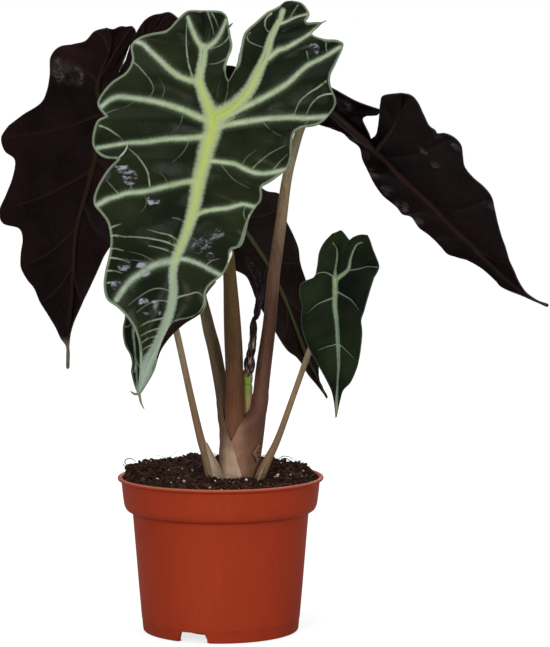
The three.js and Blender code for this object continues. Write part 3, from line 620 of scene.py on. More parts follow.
@dataclass(frozen=True)
class Papery:
    """A sheath round the crown: smooth as its stalk higher up, dry and cracked near the soil.

    Fields: name; stops, the colours with the height in metres of each; lit, where from side
    to side it starts to pale and is palest, in metres; pale, that colour; pale_top, the height
    that it stays below; crack, the colour of the cracks.
    """

    name: str
    stops: tuple[tuple[float, tuple], ...]
    lit: tuple[float, float] = (0.0, 1.0)
    pale: tuple = tone(190, 166, 146)
    pale_top: float = 0.106
    crack: tuple = tone(78, 54, 40)

    def material(self) -> bpy.types.Material:
        """Builds the material.

        Returns:
            The material.
        """
        b = Board(self.name)
        low, high = self.stops[0][0], self.stops[-1][0]
        wander = (b.grain(60, 2, 0.5, b.stretched(1, 1, 0.35)) - 0.5) * 0.01
        height = b.height()
        stops = [((at - low) / (high - low), colour) for at, colour in self.stops]
        colour = b.ramp((height + wander - low) / (high - low), stops)
        lit = (b.across() + wander * 0.5).rise(*self.lit)
        lit = lit * height.rise(self.pale_top + 0.012, self.pale_top - 0.008)
        colour = b.blend(lit * 0.85, colour, self.pale)
        dry = height.rise(0.114, 0.1)
        lines = b.grain(900, 3, 0.6, b.stretched(1, 1, 0.05))
        colour = b.blend(lines.rise(0.45, 0.7) * 0.22, colour, self.crack)
        cloud = b.grain(140, 3, 0.6, b.stretched(1, 1, 0.3)).rise(0.45, 0.75)
        colour = b.blend(cloud * 0.25, colour, self.crack)
        cracks = b.cells(150, "DISTANCE_TO_EDGE", b.stretched(0.5, 0.5, 2.4)).rise(0.035, 0.0)
        torn = cracks * b.grain(110, 2).rise(0.54, 0.64) * dry
        colour = b.blend(torn * 0.65, colour, self.crack)
        sockets = {"Base Color": colour, "Roughness": lines * 0.2 + 0.4,
                   "Specular IOR Level": 0.12}
        return b.finish(sockets, lines + cloud * 0.4 - torn, 0.00022, 0.6)


@dataclass(frozen=True)
class BudSkin:
    """The green spear at the crown, fading to brown at its foot."""

    name: str = "bud_skin"
    green: tuple = tone(134, 152, 70)
    olive: tuple = tone(168, 152, 98)
    brown: tuple = tone(186, 152, 110)

    def material(self) -> bpy.types.Material:
        """Builds the material.

        Returns:
            The material.
        """
        b = Board(self.name)
        wander = (b.grain(130, 3) - 0.5) * 0.012
        height = b.height() + wander
        colour = b.blend(height.rise(0.126, 0.136), self.brown, self.olive)
        colour = b.blend(height.rise(0.132, 0.144), colour, self.green)
        # Painted shade: the left side of the spear is darkened.
        colour = b.blend(b.across().rise(0.0165, 0.0135) * 0.3, colour, tone(84, 84, 40))
        lines = b.grain(1100, 3, 0.6, b.stretched(1, 1, 0.05))
        colour = b.blend(lines.rise(0.45, 0.7) * 0.35, colour, tone(60, 84, 32))
        sockets = {"Base Color": colour, "Roughness": lines * 0.2 + 0.36,
                   "Specular IOR Level": 0.15}
        return b.finish(sockets, lines, 0.0002, 0.6)


@dataclass(frozen=True)
class Shrivelled:
    """The withered leaf: wrinkled, glossy, black-purple and dark red, with pale streaks of painted
    highlight.
    """

    name: str = "shrivelled"
    black: tuple = tone(24, 14, 17)
    purple: tuple = tone(62, 34, 38)
    # Colour of the painted highlight streaks.
    streak: tuple = tone(176, 152, 140)
    husk: tuple = tone(96, 72, 54)

    def material(self) -> bpy.types.Material:
        """Builds the material.

        Returns:
            The material.
        """
        b = Board(self.name)
        folds = b.grain(520, 4, 0.6, b.stretched(1, 1, 0.22))
        colour = b.blend(folds.rise(0.42, 0.66), self.black, self.purple)
        low = b.height().rise(0.185, 0.155)
        # Painted highlight: pale streaks, strongest low down and gone near the top; the coat of gloss
        # follows them too.
        pale = (b.grain(760, 3, 0.6, b.stretched(1, 1, 0.14)) + low * 0.05).rise(0.58, 0.68)
        pale = pale * b.height().rise(0.2, 0.193)
        colour = b.blend(b.height().rise(0.19, 0.204) * 0.8, colour, self.black)
        colour = b.blend(low * folds.rise(0.5, 0.62) * 0.7, colour, self.husk)
        # Painted highlight: the pale streaks blended into the colour.
        colour = b.blend(pale * (low * 0.3 + 0.55), colour, self.streak)
        sockets = {"Base Color": colour, "Roughness": folds * 0.3 + 0.2,
                   "Specular IOR Level": 0.1, "Coat Weight": pale * 0.6, "Coat Roughness": 0.1}
        return b.finish(sockets, folds * 1.4, 0.0006, 1.0)


@dataclass(frozen=True)
class Peat:
    """Moist peat: black-brown crumbs with reddish bits."""

    name: str = "peat"
    black: tuple = tone(22, 14, 11)
    brown: tuple = tone(80, 51, 37)
    red: tuple = tone(122, 70, 46)

    def material(self) -> bpy.types.Material:
        """Builds the material.

        Returns:
            The material.
        """
        b = Board(self.name)
        lumps = b.grain(420, 5, 0.65)
        colour = b.blend(lumps.rise(0.4, 0.68), self.black, self.brown)
        bits = b.cells(900).rise(0.3, 0.12) * b.grain(260, 2).rise(0.5, 0.6)
        colour = b.blend(bits * 0.7, colour, self.red)
        sockets = {"Base Color": colour, "Roughness": lumps * 0.3 + 0.6,
                   "Specular IOR Level": 0.12}
        return b.finish(sockets, lumps * 1.6 + bits, 0.0011, 1.0)


@dataclass(frozen=True)
class Grit:
    """A plain rough bit in the soil: perlite, bark or root, mottled between two colours."""

    name: str
    light: tuple
    dark: tuple
    scale: float = 1200
    rough: float = 0.75

    def material(self) -> bpy.types.Material:
        """Builds the material.

        Returns:
            The material.
        """
        b = Board(self.name)
        mottle = b.grain(self.scale, 4, 0.6)
        colour = b.blend(mottle.rise(0.35, 0.65), self.dark, self.light)
        sockets = {"Base Color": colour, "Roughness": mottle * 0.2 + (self.rough - 0.1),
                   "Specular IOR Level": 0.12}
        return b.finish(sockets, mottle, 0.0003, 0.8)


@dataclass(frozen=True)
class PotPlastic:
    """Terracotta-coloured moulded plastic with a satin sheen, dust, a few scuffs and a painted highlight
    along the lip.
    """

    name: str = "pot_plastic"
    clay: tuple = tone(170, 60, 34)
    deep: tuple = tone(148, 50, 28)
    dust: tuple = tone(176, 92, 70)
    # Colour of the painted highlight along the lip.
    painted_highlight: tuple = tone(206, 132, 110)
    scuffs: tuple = ((-0.0365, -0.0287, 0.0085), (0.0262, -0.0392, 0.0075),
                     (0.0215, -0.0441, 0.0315))

    def material(self) -> bpy.types.Material:
        """Builds the material.

        Returns:
            The material.
        """
        b = Board(self.name)
        height = b.height()
        cloud = b.grain(26, 4, 0.6, b.stretched(1, 1, 0.5)).rise(0.3, 0.75)
        colour = b.blend(cloud * 0.45, self.clay, self.deep)
        lines = b.grain(500, 3, 0.6, b.stretched(1, 1, 0.03))
        colour = b.blend(lines.rise(0.5, 0.75) * 0.1, colour, self.dust)
        # Painted highlight: a paler line along the top edge of the lip.
        lip = height.rise(0.0889, 0.0898)
        colour = b.blend(lip * 0.5, colour, self.painted_highlight)
        marks = b.spot(self.scuffs[0], 0.0003, 0.0016)
        for centre in self.scuffs[1:]:
            marks = marks.over(b.spot(centre, 0.0003, 0.0014))
        dirt = b.grain(210, 4, 0.7).rise(0.66, 0.74) * height.rise(0.02, 0.0)
        colour = b.blend(marks * 0.35 + dirt * 0.3, colour, self.dust)
        scratch = b.grain(1500, 3, 0.6, b.stretched(1, 1, 4)) * 0.4
        rough = lines * 0.1 + cloud * 0.06 + 0.36
        sockets = {"Base Color": colour, "Roughness": rough, "Specular IOR Level": 0.045}
        return b.finish(sockets, lines * 0.5 + scratch, 0.00008, 0.5)


# Bench work

def put_down() -> None:
    """Leaves edit mode and lets go of all that is selected."""
    if bpy.context.object and bpy.context.object.mode != "OBJECT":
        bpy.ops.object.mode_set(mode="OBJECT")
    bpy.ops.object.select_all(action="DESELECT")


def pick_up(piece: bpy.types.Object) -> None:
    """Selects one piece alone.

    Args:
        piece: the piece.
    """
    put_down()
    piece.select_set(True)
    bpy.context.view_layer.objects.active = piece


@contextmanager
def editing(piece: bpy.types.Object, action: str = "SELECT") -> Iterator[None]:
    """Holds one piece in edit mode, with all of it selected.

    Args:
        piece: the piece.
        action: SELECT, or DESELECT to start with nothing selected.

    Returns:
        Nothing while it lasts.
    """
    pick_up(piece)
    bpy.ops.object.mode_set(mode="EDIT")
    bpy.ops.mesh.select_all(action=action)
    yield
    bpy.ops.object.mode_set(mode="OBJECT")


def close_shell() -> None:
    """Fills the open rings of the piece in edit mode and turns its faces outwards."""
    bpy.ops.mesh.select_all(action="DESELECT")
    bpy.ops.mesh.select_non_manifold()
    bpy.ops.mesh.edge_face_add()
    bpy.ops.mesh.select_all(action="SELECT")
    bpy.ops.mesh.normals_make_consistent(inside=False)


def sheet(name: str, places: np.ndarray, flip: bool = False) -> bpy.types.Object:
    """Adds a grid and bends it to shape, row by row.

    Args:
        name: the piece's name.
        places: where each point goes, by row and column.
        flip: whether its faces are turned over.

    Returns:
        The piece, open and without thickness.
    """
    put_down()
    rows, columns = places.shape[:2]
    bpy.ops.mesh.primitive_grid_add(x_subdivisions=columns - 1, y_subdivisions=rows - 1, size=1)
    piece = bpy.context.object
    piece.name = name
    piece.data.vertices.foreach_set("co", places.reshape(-1))
    piece.data.update()
    if flip:
        with editing(piece):
            bpy.ops.mesh.flip_normals()
    return piece


def join(pieces: Sequence[bpy.types.Object], name: str) -> bpy.types.Object:
    """Makes one piece of several.

    Args:
        pieces: the pieces.
        name: the name of the whole.

    Returns:
        The one piece.
    """
    put_down()
    for piece in pieces:
        piece.select_set(True)
    bpy.context.view_layer.objects.active = pieces[0]
    if len(pieces) > 1:
        bpy.ops.object.join()
    pieces[0].name = name
    return pieces[0]


def weld(piece: bpy.types.Object, gap: float = 1e-6, outward: bool = False) -> None:
    """Merges points that lie together, and turns a closed piece's faces outwards if asked.

    Args:
        piece: the piece.
        gap: how near to each other the points lie, in metres.
        outward: whether its faces are turned outwards.
    """
    with editing(piece):
        bpy.ops.mesh.remove_doubles(threshold=gap)
        if outward:
            bpy.ops.mesh.normals_make_consistent(inside=False)


def apply(piece: bpy.types.Object, kind: str, **settings: object) -> None:
    """Puts a modifier on a piece and applies it.

    Args:
        piece: the piece.
        kind: the kind of modifier.
        settings: the modifier's own settings.
    """
    pick_up(piece)
    bpy.ops.object.modifier_add(type=kind)
    modifier = piece.modifiers[-1]
    for key, value in settings.items():
        setattr(modifier, key, value)
    bpy.ops.object.modifier_apply(modifier=modifier.name)


def smooth(piece: bpy.types.Object, degrees: float | None = None) -> None:
    """Shades a piece smooth, or only where its faces meet at less than an angle.

    Args:
        piece: the piece.
        degrees: the angle, or None for the whole piece.
    """
    pick_up(piece)
    if degrees is None:
        bpy.ops.object.shade_smooth()
    else:
        bpy.ops.object.shade_smooth_by_angle(angle=math.radians(degrees))


def dress(piece: bpy.types.Object, *materials: bpy.types.Material, slot: str = "",
          stands_for: Sequence[str] = ()) -> bpy.types.Object:
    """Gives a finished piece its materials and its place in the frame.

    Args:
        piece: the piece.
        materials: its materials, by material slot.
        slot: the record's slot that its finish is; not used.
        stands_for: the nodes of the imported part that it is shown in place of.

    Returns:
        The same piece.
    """
    if len(piece.data.materials) != len(materials):
        piece.data.materials.clear()
        for material in materials:
            piece.data.materials.append(material)
    else:
        for i, material in enumerate(materials):
            piece.data.materials[i] = material
    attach(piece, "root")
    if stands_for:
        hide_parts(*stands_for)
    log.info("%s: %d faces", piece.name, len(piece.data.polygons))
    return piece


def points_of(piece: bpy.types.Object) -> np.ndarray:
    """Reads the places of a piece's points.

    Args:
        piece: the piece.

    Returns:
        A row of x, y and z for each point, in metres.
    """
    flat = np.empty(len(piece.data.vertices) * 3)
    piece.data.vertices.foreach_get("co", flat)
    return flat.reshape(-1, 3)


def normals_of(piece: bpy.types.Object) -> np.ndarray:
    """Reads the way that a piece's surface faces at each point.

    Args:
        piece: the piece.

    Returns:
        A row of x, y and z for each point.
    """
    flat = np.empty(len(piece.data.vertices) * 3)
    piece.data.vertex_normals.foreach_get("vector", flat)
    return flat.reshape(-1, 3)


def move_points(piece: bpy.types.Object, points: np.ndarray) -> None:
    """Moves a piece's points."""
    piece.data.vertices.foreach_set("co", points.reshape(-1))
    piece.data.update()


def write_value(piece: bpy.types.Object, name: str, values: np.ndarray) -> None:
    """Writes a number or a vector on each point of a piece.

    Args:
        piece: the piece.
        name: the name of the values.
        values: a number or a row of three for each point.
    """
    vector = values.ndim == 2
    layer = piece.data.attributes.new(name, "FLOAT_VECTOR" if vector else "FLOAT", "POINT")
    layer.data.foreach_set("vector" if vector else "value", values.astype(np.float32).ravel())


def read_vector(piece: bpy.types.Object, name: str) -> np.ndarray:
    """Reads a vector from each point of a piece.

    Args:
        piece: the piece.
        name: the name of the values.

    Returns:
        A row of three for each point.
    """
    flat = np.empty(len(piece.data.vertices) * 3, np.float32)
    piece.data.attributes[name].data.foreach_get("vector", flat)
    return flat.reshape(-1, 3).astype(float)


def tube(name: str, route: np.ndarray, radii: np.ndarray, sides: int,
         flatten: float = 1.0, ripple: float = 0.0, turn: float = 0.0) -> bpy.types.Object:
    """Rolls a grid into a closed tube along a route.

    Args:
        name: the piece's name.
        route: the middle of each ring.
        radii: the radius of each ring.
        sides: how many sides each ring has.
        flatten: how thick the tube is across its first side, against its other.
        ripple: how much the rings wander from round, against their radius.
        turn: how far the first side turns on the way, in radians.

    Returns:
        The tube with both its ends closed.
    """
    places = np.empty((len(route), sides + 1, 3))
    side = np.array([1.0, 0.0, 0.0])
    angles = np.linspace(0, 2 * math.pi, sides + 1)
    for i, middle in enumerate(route):
        along = route[min(i + 1, len(route) - 1)] - route[max(i - 1, 0)]
        along = along / np.linalg.norm(along)
        side = side - along * side.dot(along)
        side = side / np.linalg.norm(side)
        other = np.cross(along, side)
        spin = angles + turn * i / len(route)
        wander = 1 + ripple * (np.sin(3 * angles + i * 0.21) + 0.6 * np.sin(5 * angles - i * 0.13))
        reach = radii[i] * wander
        places[i] = (middle + np.outer(reach * np.cos(spin) * flatten, side)
                     + np.outer(reach * np.sin(spin), other))
    piece = sheet(name, places)
    with editing(piece):
        bpy.ops.mesh.remove_doubles(threshold=1e-6)
        close_shell()
    return piece


def traced_tube(name: str, rows: Sequence[Row], steps: int, sides: int,
                **shape: float) -> bpy.types.Object:
    """Rolls a tube along a route on the front view.

    Args:
        name: the piece's name.
        rows: the route's x, y, depth and radius, with the last two in millimetres.
        steps: how finely the route is cut between its rows.
        sides: how many sides each ring has.
        shape: further options of tube.

    Returns:
        The tube.
    """
    fine = refine(rows, steps)
    route = VIEW.place(fine[:, :2], fine[:, 2] * MM)
    return tube(name, route, fine[:, 3] * MM, sides, **shape)


# Leaf blades

class Rank(Enum):
    """How strong a vein is."""

    RIB = "rib_way"
    SIDE = "side_way"
    THREAD = "thread_way"


class Facing(Enum):
    """Which side of a blade faces the front."""

    UPPER = -1
    UNDER = 1


@dataclass(frozen=True)
class Vein:
    """A vein on the front view.

    Fields: rank; path; width, half its width where it starts and where it ends, in steps of
    the view; glow, how yellow it is at each end.
    """

    rank: Rank
    path: tuple[Spot, ...]
    width: Spot
    glow: Spot = (0.0, 0.0)

    def segments(self) -> np.ndarray:
        """Cuts the vein in pieces: x, y, half width, glow and run at both ends of each.

        Returns:
            A row for each piece of the vein.
        """
        line = refine(self.path, 5)
        gaps = np.linalg.norm(np.diff(line, axis=0), axis=1)
        run = np.concatenate([[0], np.cumsum(gaps)])
        reach = run / run[-1]
        width = self.width[0] + (self.width[1] - self.width[0]) * reach
        glow = self.glow[0] + (self.glow[1] - self.glow[0]) * reach
        nodes = np.column_stack([line, width, glow, run])
        return np.hstack([nodes[:-1], nodes[1:]])


def way_to(spots: np.ndarray,
           veins: Iterable[Vein]) -> tuple[np.ndarray, np.ndarray, np.ndarray]:
    """Finds the way from each spot to the nearest vein.

    Args:
        spots: x and y of each spot on the front view.
        veins: the veins of one rank.

    Returns:
        The way in x and y and its length, in half widths of the vein, the glow of the vein
        there, and how far along the vein that is.
    """
    way = np.full((len(spots), 3), 60.0)
    glow, run = np.zeros(len(spots)), np.zeros(len(spots))
    for number, vein in enumerate(veins):
        for x0, y0, w0, g0, r0, x1, y1, w1, g1, r1 in vein.segments():
            step = np.array([x1 - x0, y1 - y0])
            t = np.clip(((spots - (x0, y0)) @ step) / (step @ step), 0, 1)
            offset = (spots - (x0, y0) - np.outer(t, step)) / (w0 + (w1 - w0) * t)[:, None]
            length = np.hypot(offset[:, 0], offset[:, 1])
            near = length < way[:, 2]
            way[near, :2] = offset[near]
            way[near, 2] = length[near]
            glow[near] = (g0 + (g1 - g0) * t)[near]
            run[near] = (number * 31.7 + r0 + (r1 - r0) * t)[near]
    return way, glow, run


@dataclass(frozen=True)
class LeafBlade:
    """One blade, spread from three ribs: its midrib and one rib up each lobe.

    Fields: name; hub and tip on the front view; depth of the hub, in millimetres, and lean,
    arch, roll, fold and cup, which say how the blade lies behind it; swell and ruffle, how far
    it rises between side veins and at its margin; facing; midrib and lobes, rows that cross a
    rib, with the rib's x and y, then x, y and swell of each margin; veins, those traced;
    rib_width, half the width of the ribs at the hub; along and across, how finely it is
    cut; thickness; ridge, how high the ribs stand; turned, the ring round the part of the
    margin that is rolled over and shows its under side.
    """

    name: str
    hub: Spot
    tip: Spot
    depth: float
    lean: float
    arch: float
    roll: float
    fold: float
    cup: float
    swell: float
    ruffle: float
    facing: Facing
    midrib: tuple[Row, ...]
    lobes: tuple[tuple[Row, ...], ...]
    veins: tuple[Vein, ...] = ()
    rib_width: float = 3.6
    along: int = 6
    across: int = 44
    thickness: float = 0.9 * MM
    ridge: float = 1.2 * MM
    turned: tuple[Spot, ...] = ()

    def lie(self, spots: np.ndarray) -> np.ndarray:
        """Gives how far the flat of the blade lies behind the pot's axis, in millimetres.

        Args:
            spots: x and y on the front view.

        Returns:
            The depth of each spot.
        """
        axis = np.array([self.tip[0] - self.hub[0], self.hub[1] - self.tip[1]])
        axis = axis / np.hypot(*axis)
        unit = VIEW.unit / MM
        off_x = (spots[..., 0] - self.hub[0]) * unit
        off_y = (self.hub[1] - spots[..., 1]) * unit
        along = off_x * axis[0] + off_y * axis[1]
        across = off_y * axis[0] - off_x * axis[1]
        bend = (self.arch * along ** 2 + self.cup * across ** 2) / 100
        fold = self.fold * np.abs(across)
        return self.depth + self.lean * along + bend + self.roll * across + fold

    def half(self, rows: np.ndarray, at: int, flip: bool) -> bpy.types.Object:
        """Bends one grid between a rib and a margin.

        Args:
            rows: the rows that cross the rib.
            at: where the margin stands in a row.
            flip: whether the faces are turned over.

        Returns:
            The grid, with its spots on the front view in the attribute spot.
        """
        t = np.linspace(0, 1, self.across + 1)[None, :]
        rib, edge = rows[:, None, :2], rows[:, None, at:at + 2]
        swell = np.clip(rows[:, at + 2], 0, 1)[:, None]
        spots = rib + (edge - rib) * t[..., None]
        raised = self.swell * swell * np.sin(0.9 * math.pi * t)
        waved = self.ruffle * (swell - 0.5) * t ** 2
        depth = self.lie(spots) + self.facing.value * (raised + waved)
        patch = sheet(self.name, VIEW.place(spots, depth * MM), flip)
        flat = spots.reshape(-1, 2)
        write_value(patch, "spot", np.column_stack([flat, np.zeros(len(flat))]))
        return patch

    def spread(self) -> bpy.types.Object:
        """Joins the six grids into one open sheet that faces the blade's upper way.

        Returns:
            The open sheet.
        """
        hub, edge = self.midrib[0][:2], self.midrib[0][2:4]
        along = (self.tip[0] - hub[0], hub[1] - self.tip[1])
        across = (edge[0] - hub[0], hub[1] - edge[1])
        handed = along[0] * across[1] - along[1] * across[0] > 0
        midrib = refine(self.midrib, self.along)
        first, second = (refine(rows, self.along) for rows in self.lobes)
        whole = join([
            self.half(midrib, 2, handed), self.half(midrib, 5, not handed),
            self.half(first, 2, handed), self.half(first, 5, not handed),
            self.half(second, 2, not handed), self.half(second, 5, handed),
        ], self.name)
        weld(whole, 2e-6)
        if normals_of(whole)[:, 1].mean() * self.facing.value < 0:
            with editing(whole):
                bpy.ops.mesh.flip_normals()
        return whole

    def all_veins(self) -> list[Vein]:
        """Gives the traced veins, or lays them out where none are traced.

        A side vein runs from a rib to the margin wherever the swell of the rows is least.

        Returns:
            The veins of the blade.
        """
        if self.veins:
            return list(self.veins)
        wide = self.rib_width
        out = [Vein(Rank.RIB, tuple(row[:2] for row in self.midrib), (wide, wide * 0.3), (1, 0))]
        for rows in (self.midrib, *self.lobes):
            if rows is not self.midrib:
                path = tuple(row[:2] for row in rows)
                out.append(Vein(Rank.RIB, path, (wide * 0.9, wide * 0.25), (1, -0.4)))
            for at in (2, 5):
                swells = [row[at + 2] for row in rows]
                for i in range(1, len(rows) - 1):
                    if swells[i] <= min(swells[i - 1], swells[i + 1]) and swells[i] < 0.35:
                        out.append(self.side_vein(rows, i, at))
        return out

    def side_vein(self, rows: Sequence[Row], i: int, at: int) -> Vein:
        """Lays a side vein from a rib to the margin, starting a little nearer the hub.

        Args:
            rows: the rows of the rib.
            i: the row it leads to.
            at: where the margin stands in a row.

        Returns:
            The vein.
        """
        start = rows[max(i - 1, 0)][:2]
        row = rows[i]
        middle = tuple(row[k] * 0.55 + row[at + k] * 0.45 for k in (0, 1))
        end = tuple(row[k] * 0.03 + row[at + k] * 0.97 for k in (0, 1))
        return Vein(Rank.SIDE, (start, middle, end), (self.rib_width * 0.5, self.rib_width * 0.22))

    def mark(self, whole: bpy.types.Object) -> dict[Rank, np.ndarray]:
        """Writes the ways to the veins and the gap to the margin on the sheet.

        Args:
            whole: the open sheet.

        Returns:
            The ways by rank of vein.
        """
        spots = read_vector(whole, "spot")[:, :2]
        veins = self.all_veins()
        ways = {}
        for rank in Rank:
            ways[rank], glow, run = way_to(spots, [v for v in veins if v.rank is rank])
            write_value(whole, rank.value, ways[rank])
            write_value(whole, rank.value.replace("way", "glow"), glow)
            if rank is not Rank.THREAD:
                write_value(whole, rank.value.replace("way", "run"), run)
        points = points_of(whole)
        edge_points = set()
        seen: dict[tuple[int, int], int] = {}
        for polygon in whole.data.polygons:
            for key in polygon.edge_keys:
                seen[key] = seen.get(key, 0) + 1
        for key, count in seen.items():
            if count == 1:
                edge_points.update(key)
        tree = KDTree(len(edge_points))
        for i in edge_points:
            tree.insert(points[i], i)
        tree.balance()
        gaps = np.array([tree.find(point)[2] for point in points])
        write_value(whole, "margin_gap", gaps)
        return ways

    def build(self, faces: Sequence[bpy.types.Material]) -> bpy.types.Object:
        """Spreads the blade, quilts it between its veins and gives it its thickness and ribs.

        Args:
            faces: the materials of the upper side, the under side and the margin.

        Returns:
            The finished blade.
        """
        whole = self.spread()
        for material in faces:
            whole.data.materials.append(material)
        ways = self.mark(whole)
        side, rib = ways[Rank.SIDE][:, 2], ways[Rank.RIB][:, 2]
        quilt = 1 - np.exp(-np.minimum(side * 1.1, rib * 2) / 3.2)
        points, normals = points_of(whole), normals_of(whole)
        fine = np.array([noise.noise(Vector(p) * 95) for p in points])
        gap = np.empty(len(points), np.float32)
        whole.data.attributes["margin_gap"].data.foreach_get("value", gap)
        inside = np.clip(gap / (4 * MM), 0, 1)
        lift = (quilt - 0.6) * 1.1 * inside + fine * 0.5 * inside
        move_points(whole, points + normals * (lift * MM)[:, None])
        apply(whole, "SOLIDIFY", thickness=self.thickness, offset=0, material_offset=1,
              material_offset_rim=2)
        self.raise_ribs(whole)
        self.turn_over(whole)
        smooth(whole)
        return whole

    def turn_over(self, whole: bpy.types.Object) -> None:
        """Gives the faces inside the turned ring the look of the other side.

        Args:
            whole: the blade.
        """
        spots = read_vector(whole, "spot")[:, :2]
        for polygon in whole.data.polygons if self.turned else ():
            x, y = spots[list(polygon.vertices)].mean(axis=0)
            crossings = 0
            for (x0, y0), (x1, y1) in zip(self.turned, self.turned[1:] + self.turned[:1]):
                if (y0 > y) != (y1 > y) and x < x0 + (y - y0) * (x1 - x0) / (y1 - y0):
                    crossings += 1
            if crossings % 2:
                polygon.material_index = 1

    def on(self, x: float, y: float, radius: float) -> tuple[float, float, float, float]:
        """Gives the place on the blade behind a spot of the front view, and a radius.

        Args:
            x: the spot's x on the front view.
            y: the spot's y.
            radius: the radius in pixels.

        Returns:
            Place and radius in metres.
        """
        depth = float(self.lie(np.array([x, y]))) * MM
        place = VIEW.place(np.array([x, y]), np.array(depth))
        return (*(float(c) for c in place), radius * VIEW.unit)

    def raise_ribs(self, whole: bpy.types.Object) -> None:
        """Raises round ribs on the under side and low ones on the upper side.

        Args:
            whole: the blade.
        """
        mesh = whole.data
        points, normals = points_of(whole), normals_of(whole)
        rib = read_vector(whole, Rank.RIB.value)[:, 2]
        side = read_vector(whole, Rank.SIDE.value)[:, 2]
        gap = np.empty(len(points), np.float32)
        mesh.attributes["margin_gap"].data.foreach_get("value", gap)
        inside = np.clip(gap / (3 * MM), 0, 1)
        dome_rib = np.sqrt(np.clip(1 - (rib / 1.1) ** 2, 0, 1))
        dome_side = np.sqrt(np.clip(1 - side ** 2, 0, 1))
        under = np.zeros(len(points), bool)
        upper = np.zeros(len(points), bool)
        for polygon in mesh.polygons:
            if polygon.material_index == 0:
                upper[list(polygon.vertices)] = True
            elif polygon.material_index == 1:
                under[list(polygon.vertices)] = True
        height = np.where(under, np.maximum(dome_rib * self.ridge, dome_side * self.ridge * 0.4), 0)
        height = np.where(upper, dome_rib * 0.35 * MM, height)
        back = np.array([0, np.sign(normals[under, 1].mean()), 0])
        way = np.where(under[:, None], back * 0.75 + normals * 0.25, normals)
        move_points(whole, points + way * (height * inside)[:, None])


# Veins of the front leaf and of the small right leaf, traced on the front view

def threads(width: float, power: float, *paths: tuple[Spot, ...]) -> tuple[Vein, ...]:
    """Makes thread veins of one width that thin out and fade along their paths."""
    return tuple(Vein(Rank.THREAD, path, (width, width * 0.6), (power, power * 0.45))
                 for path in paths)


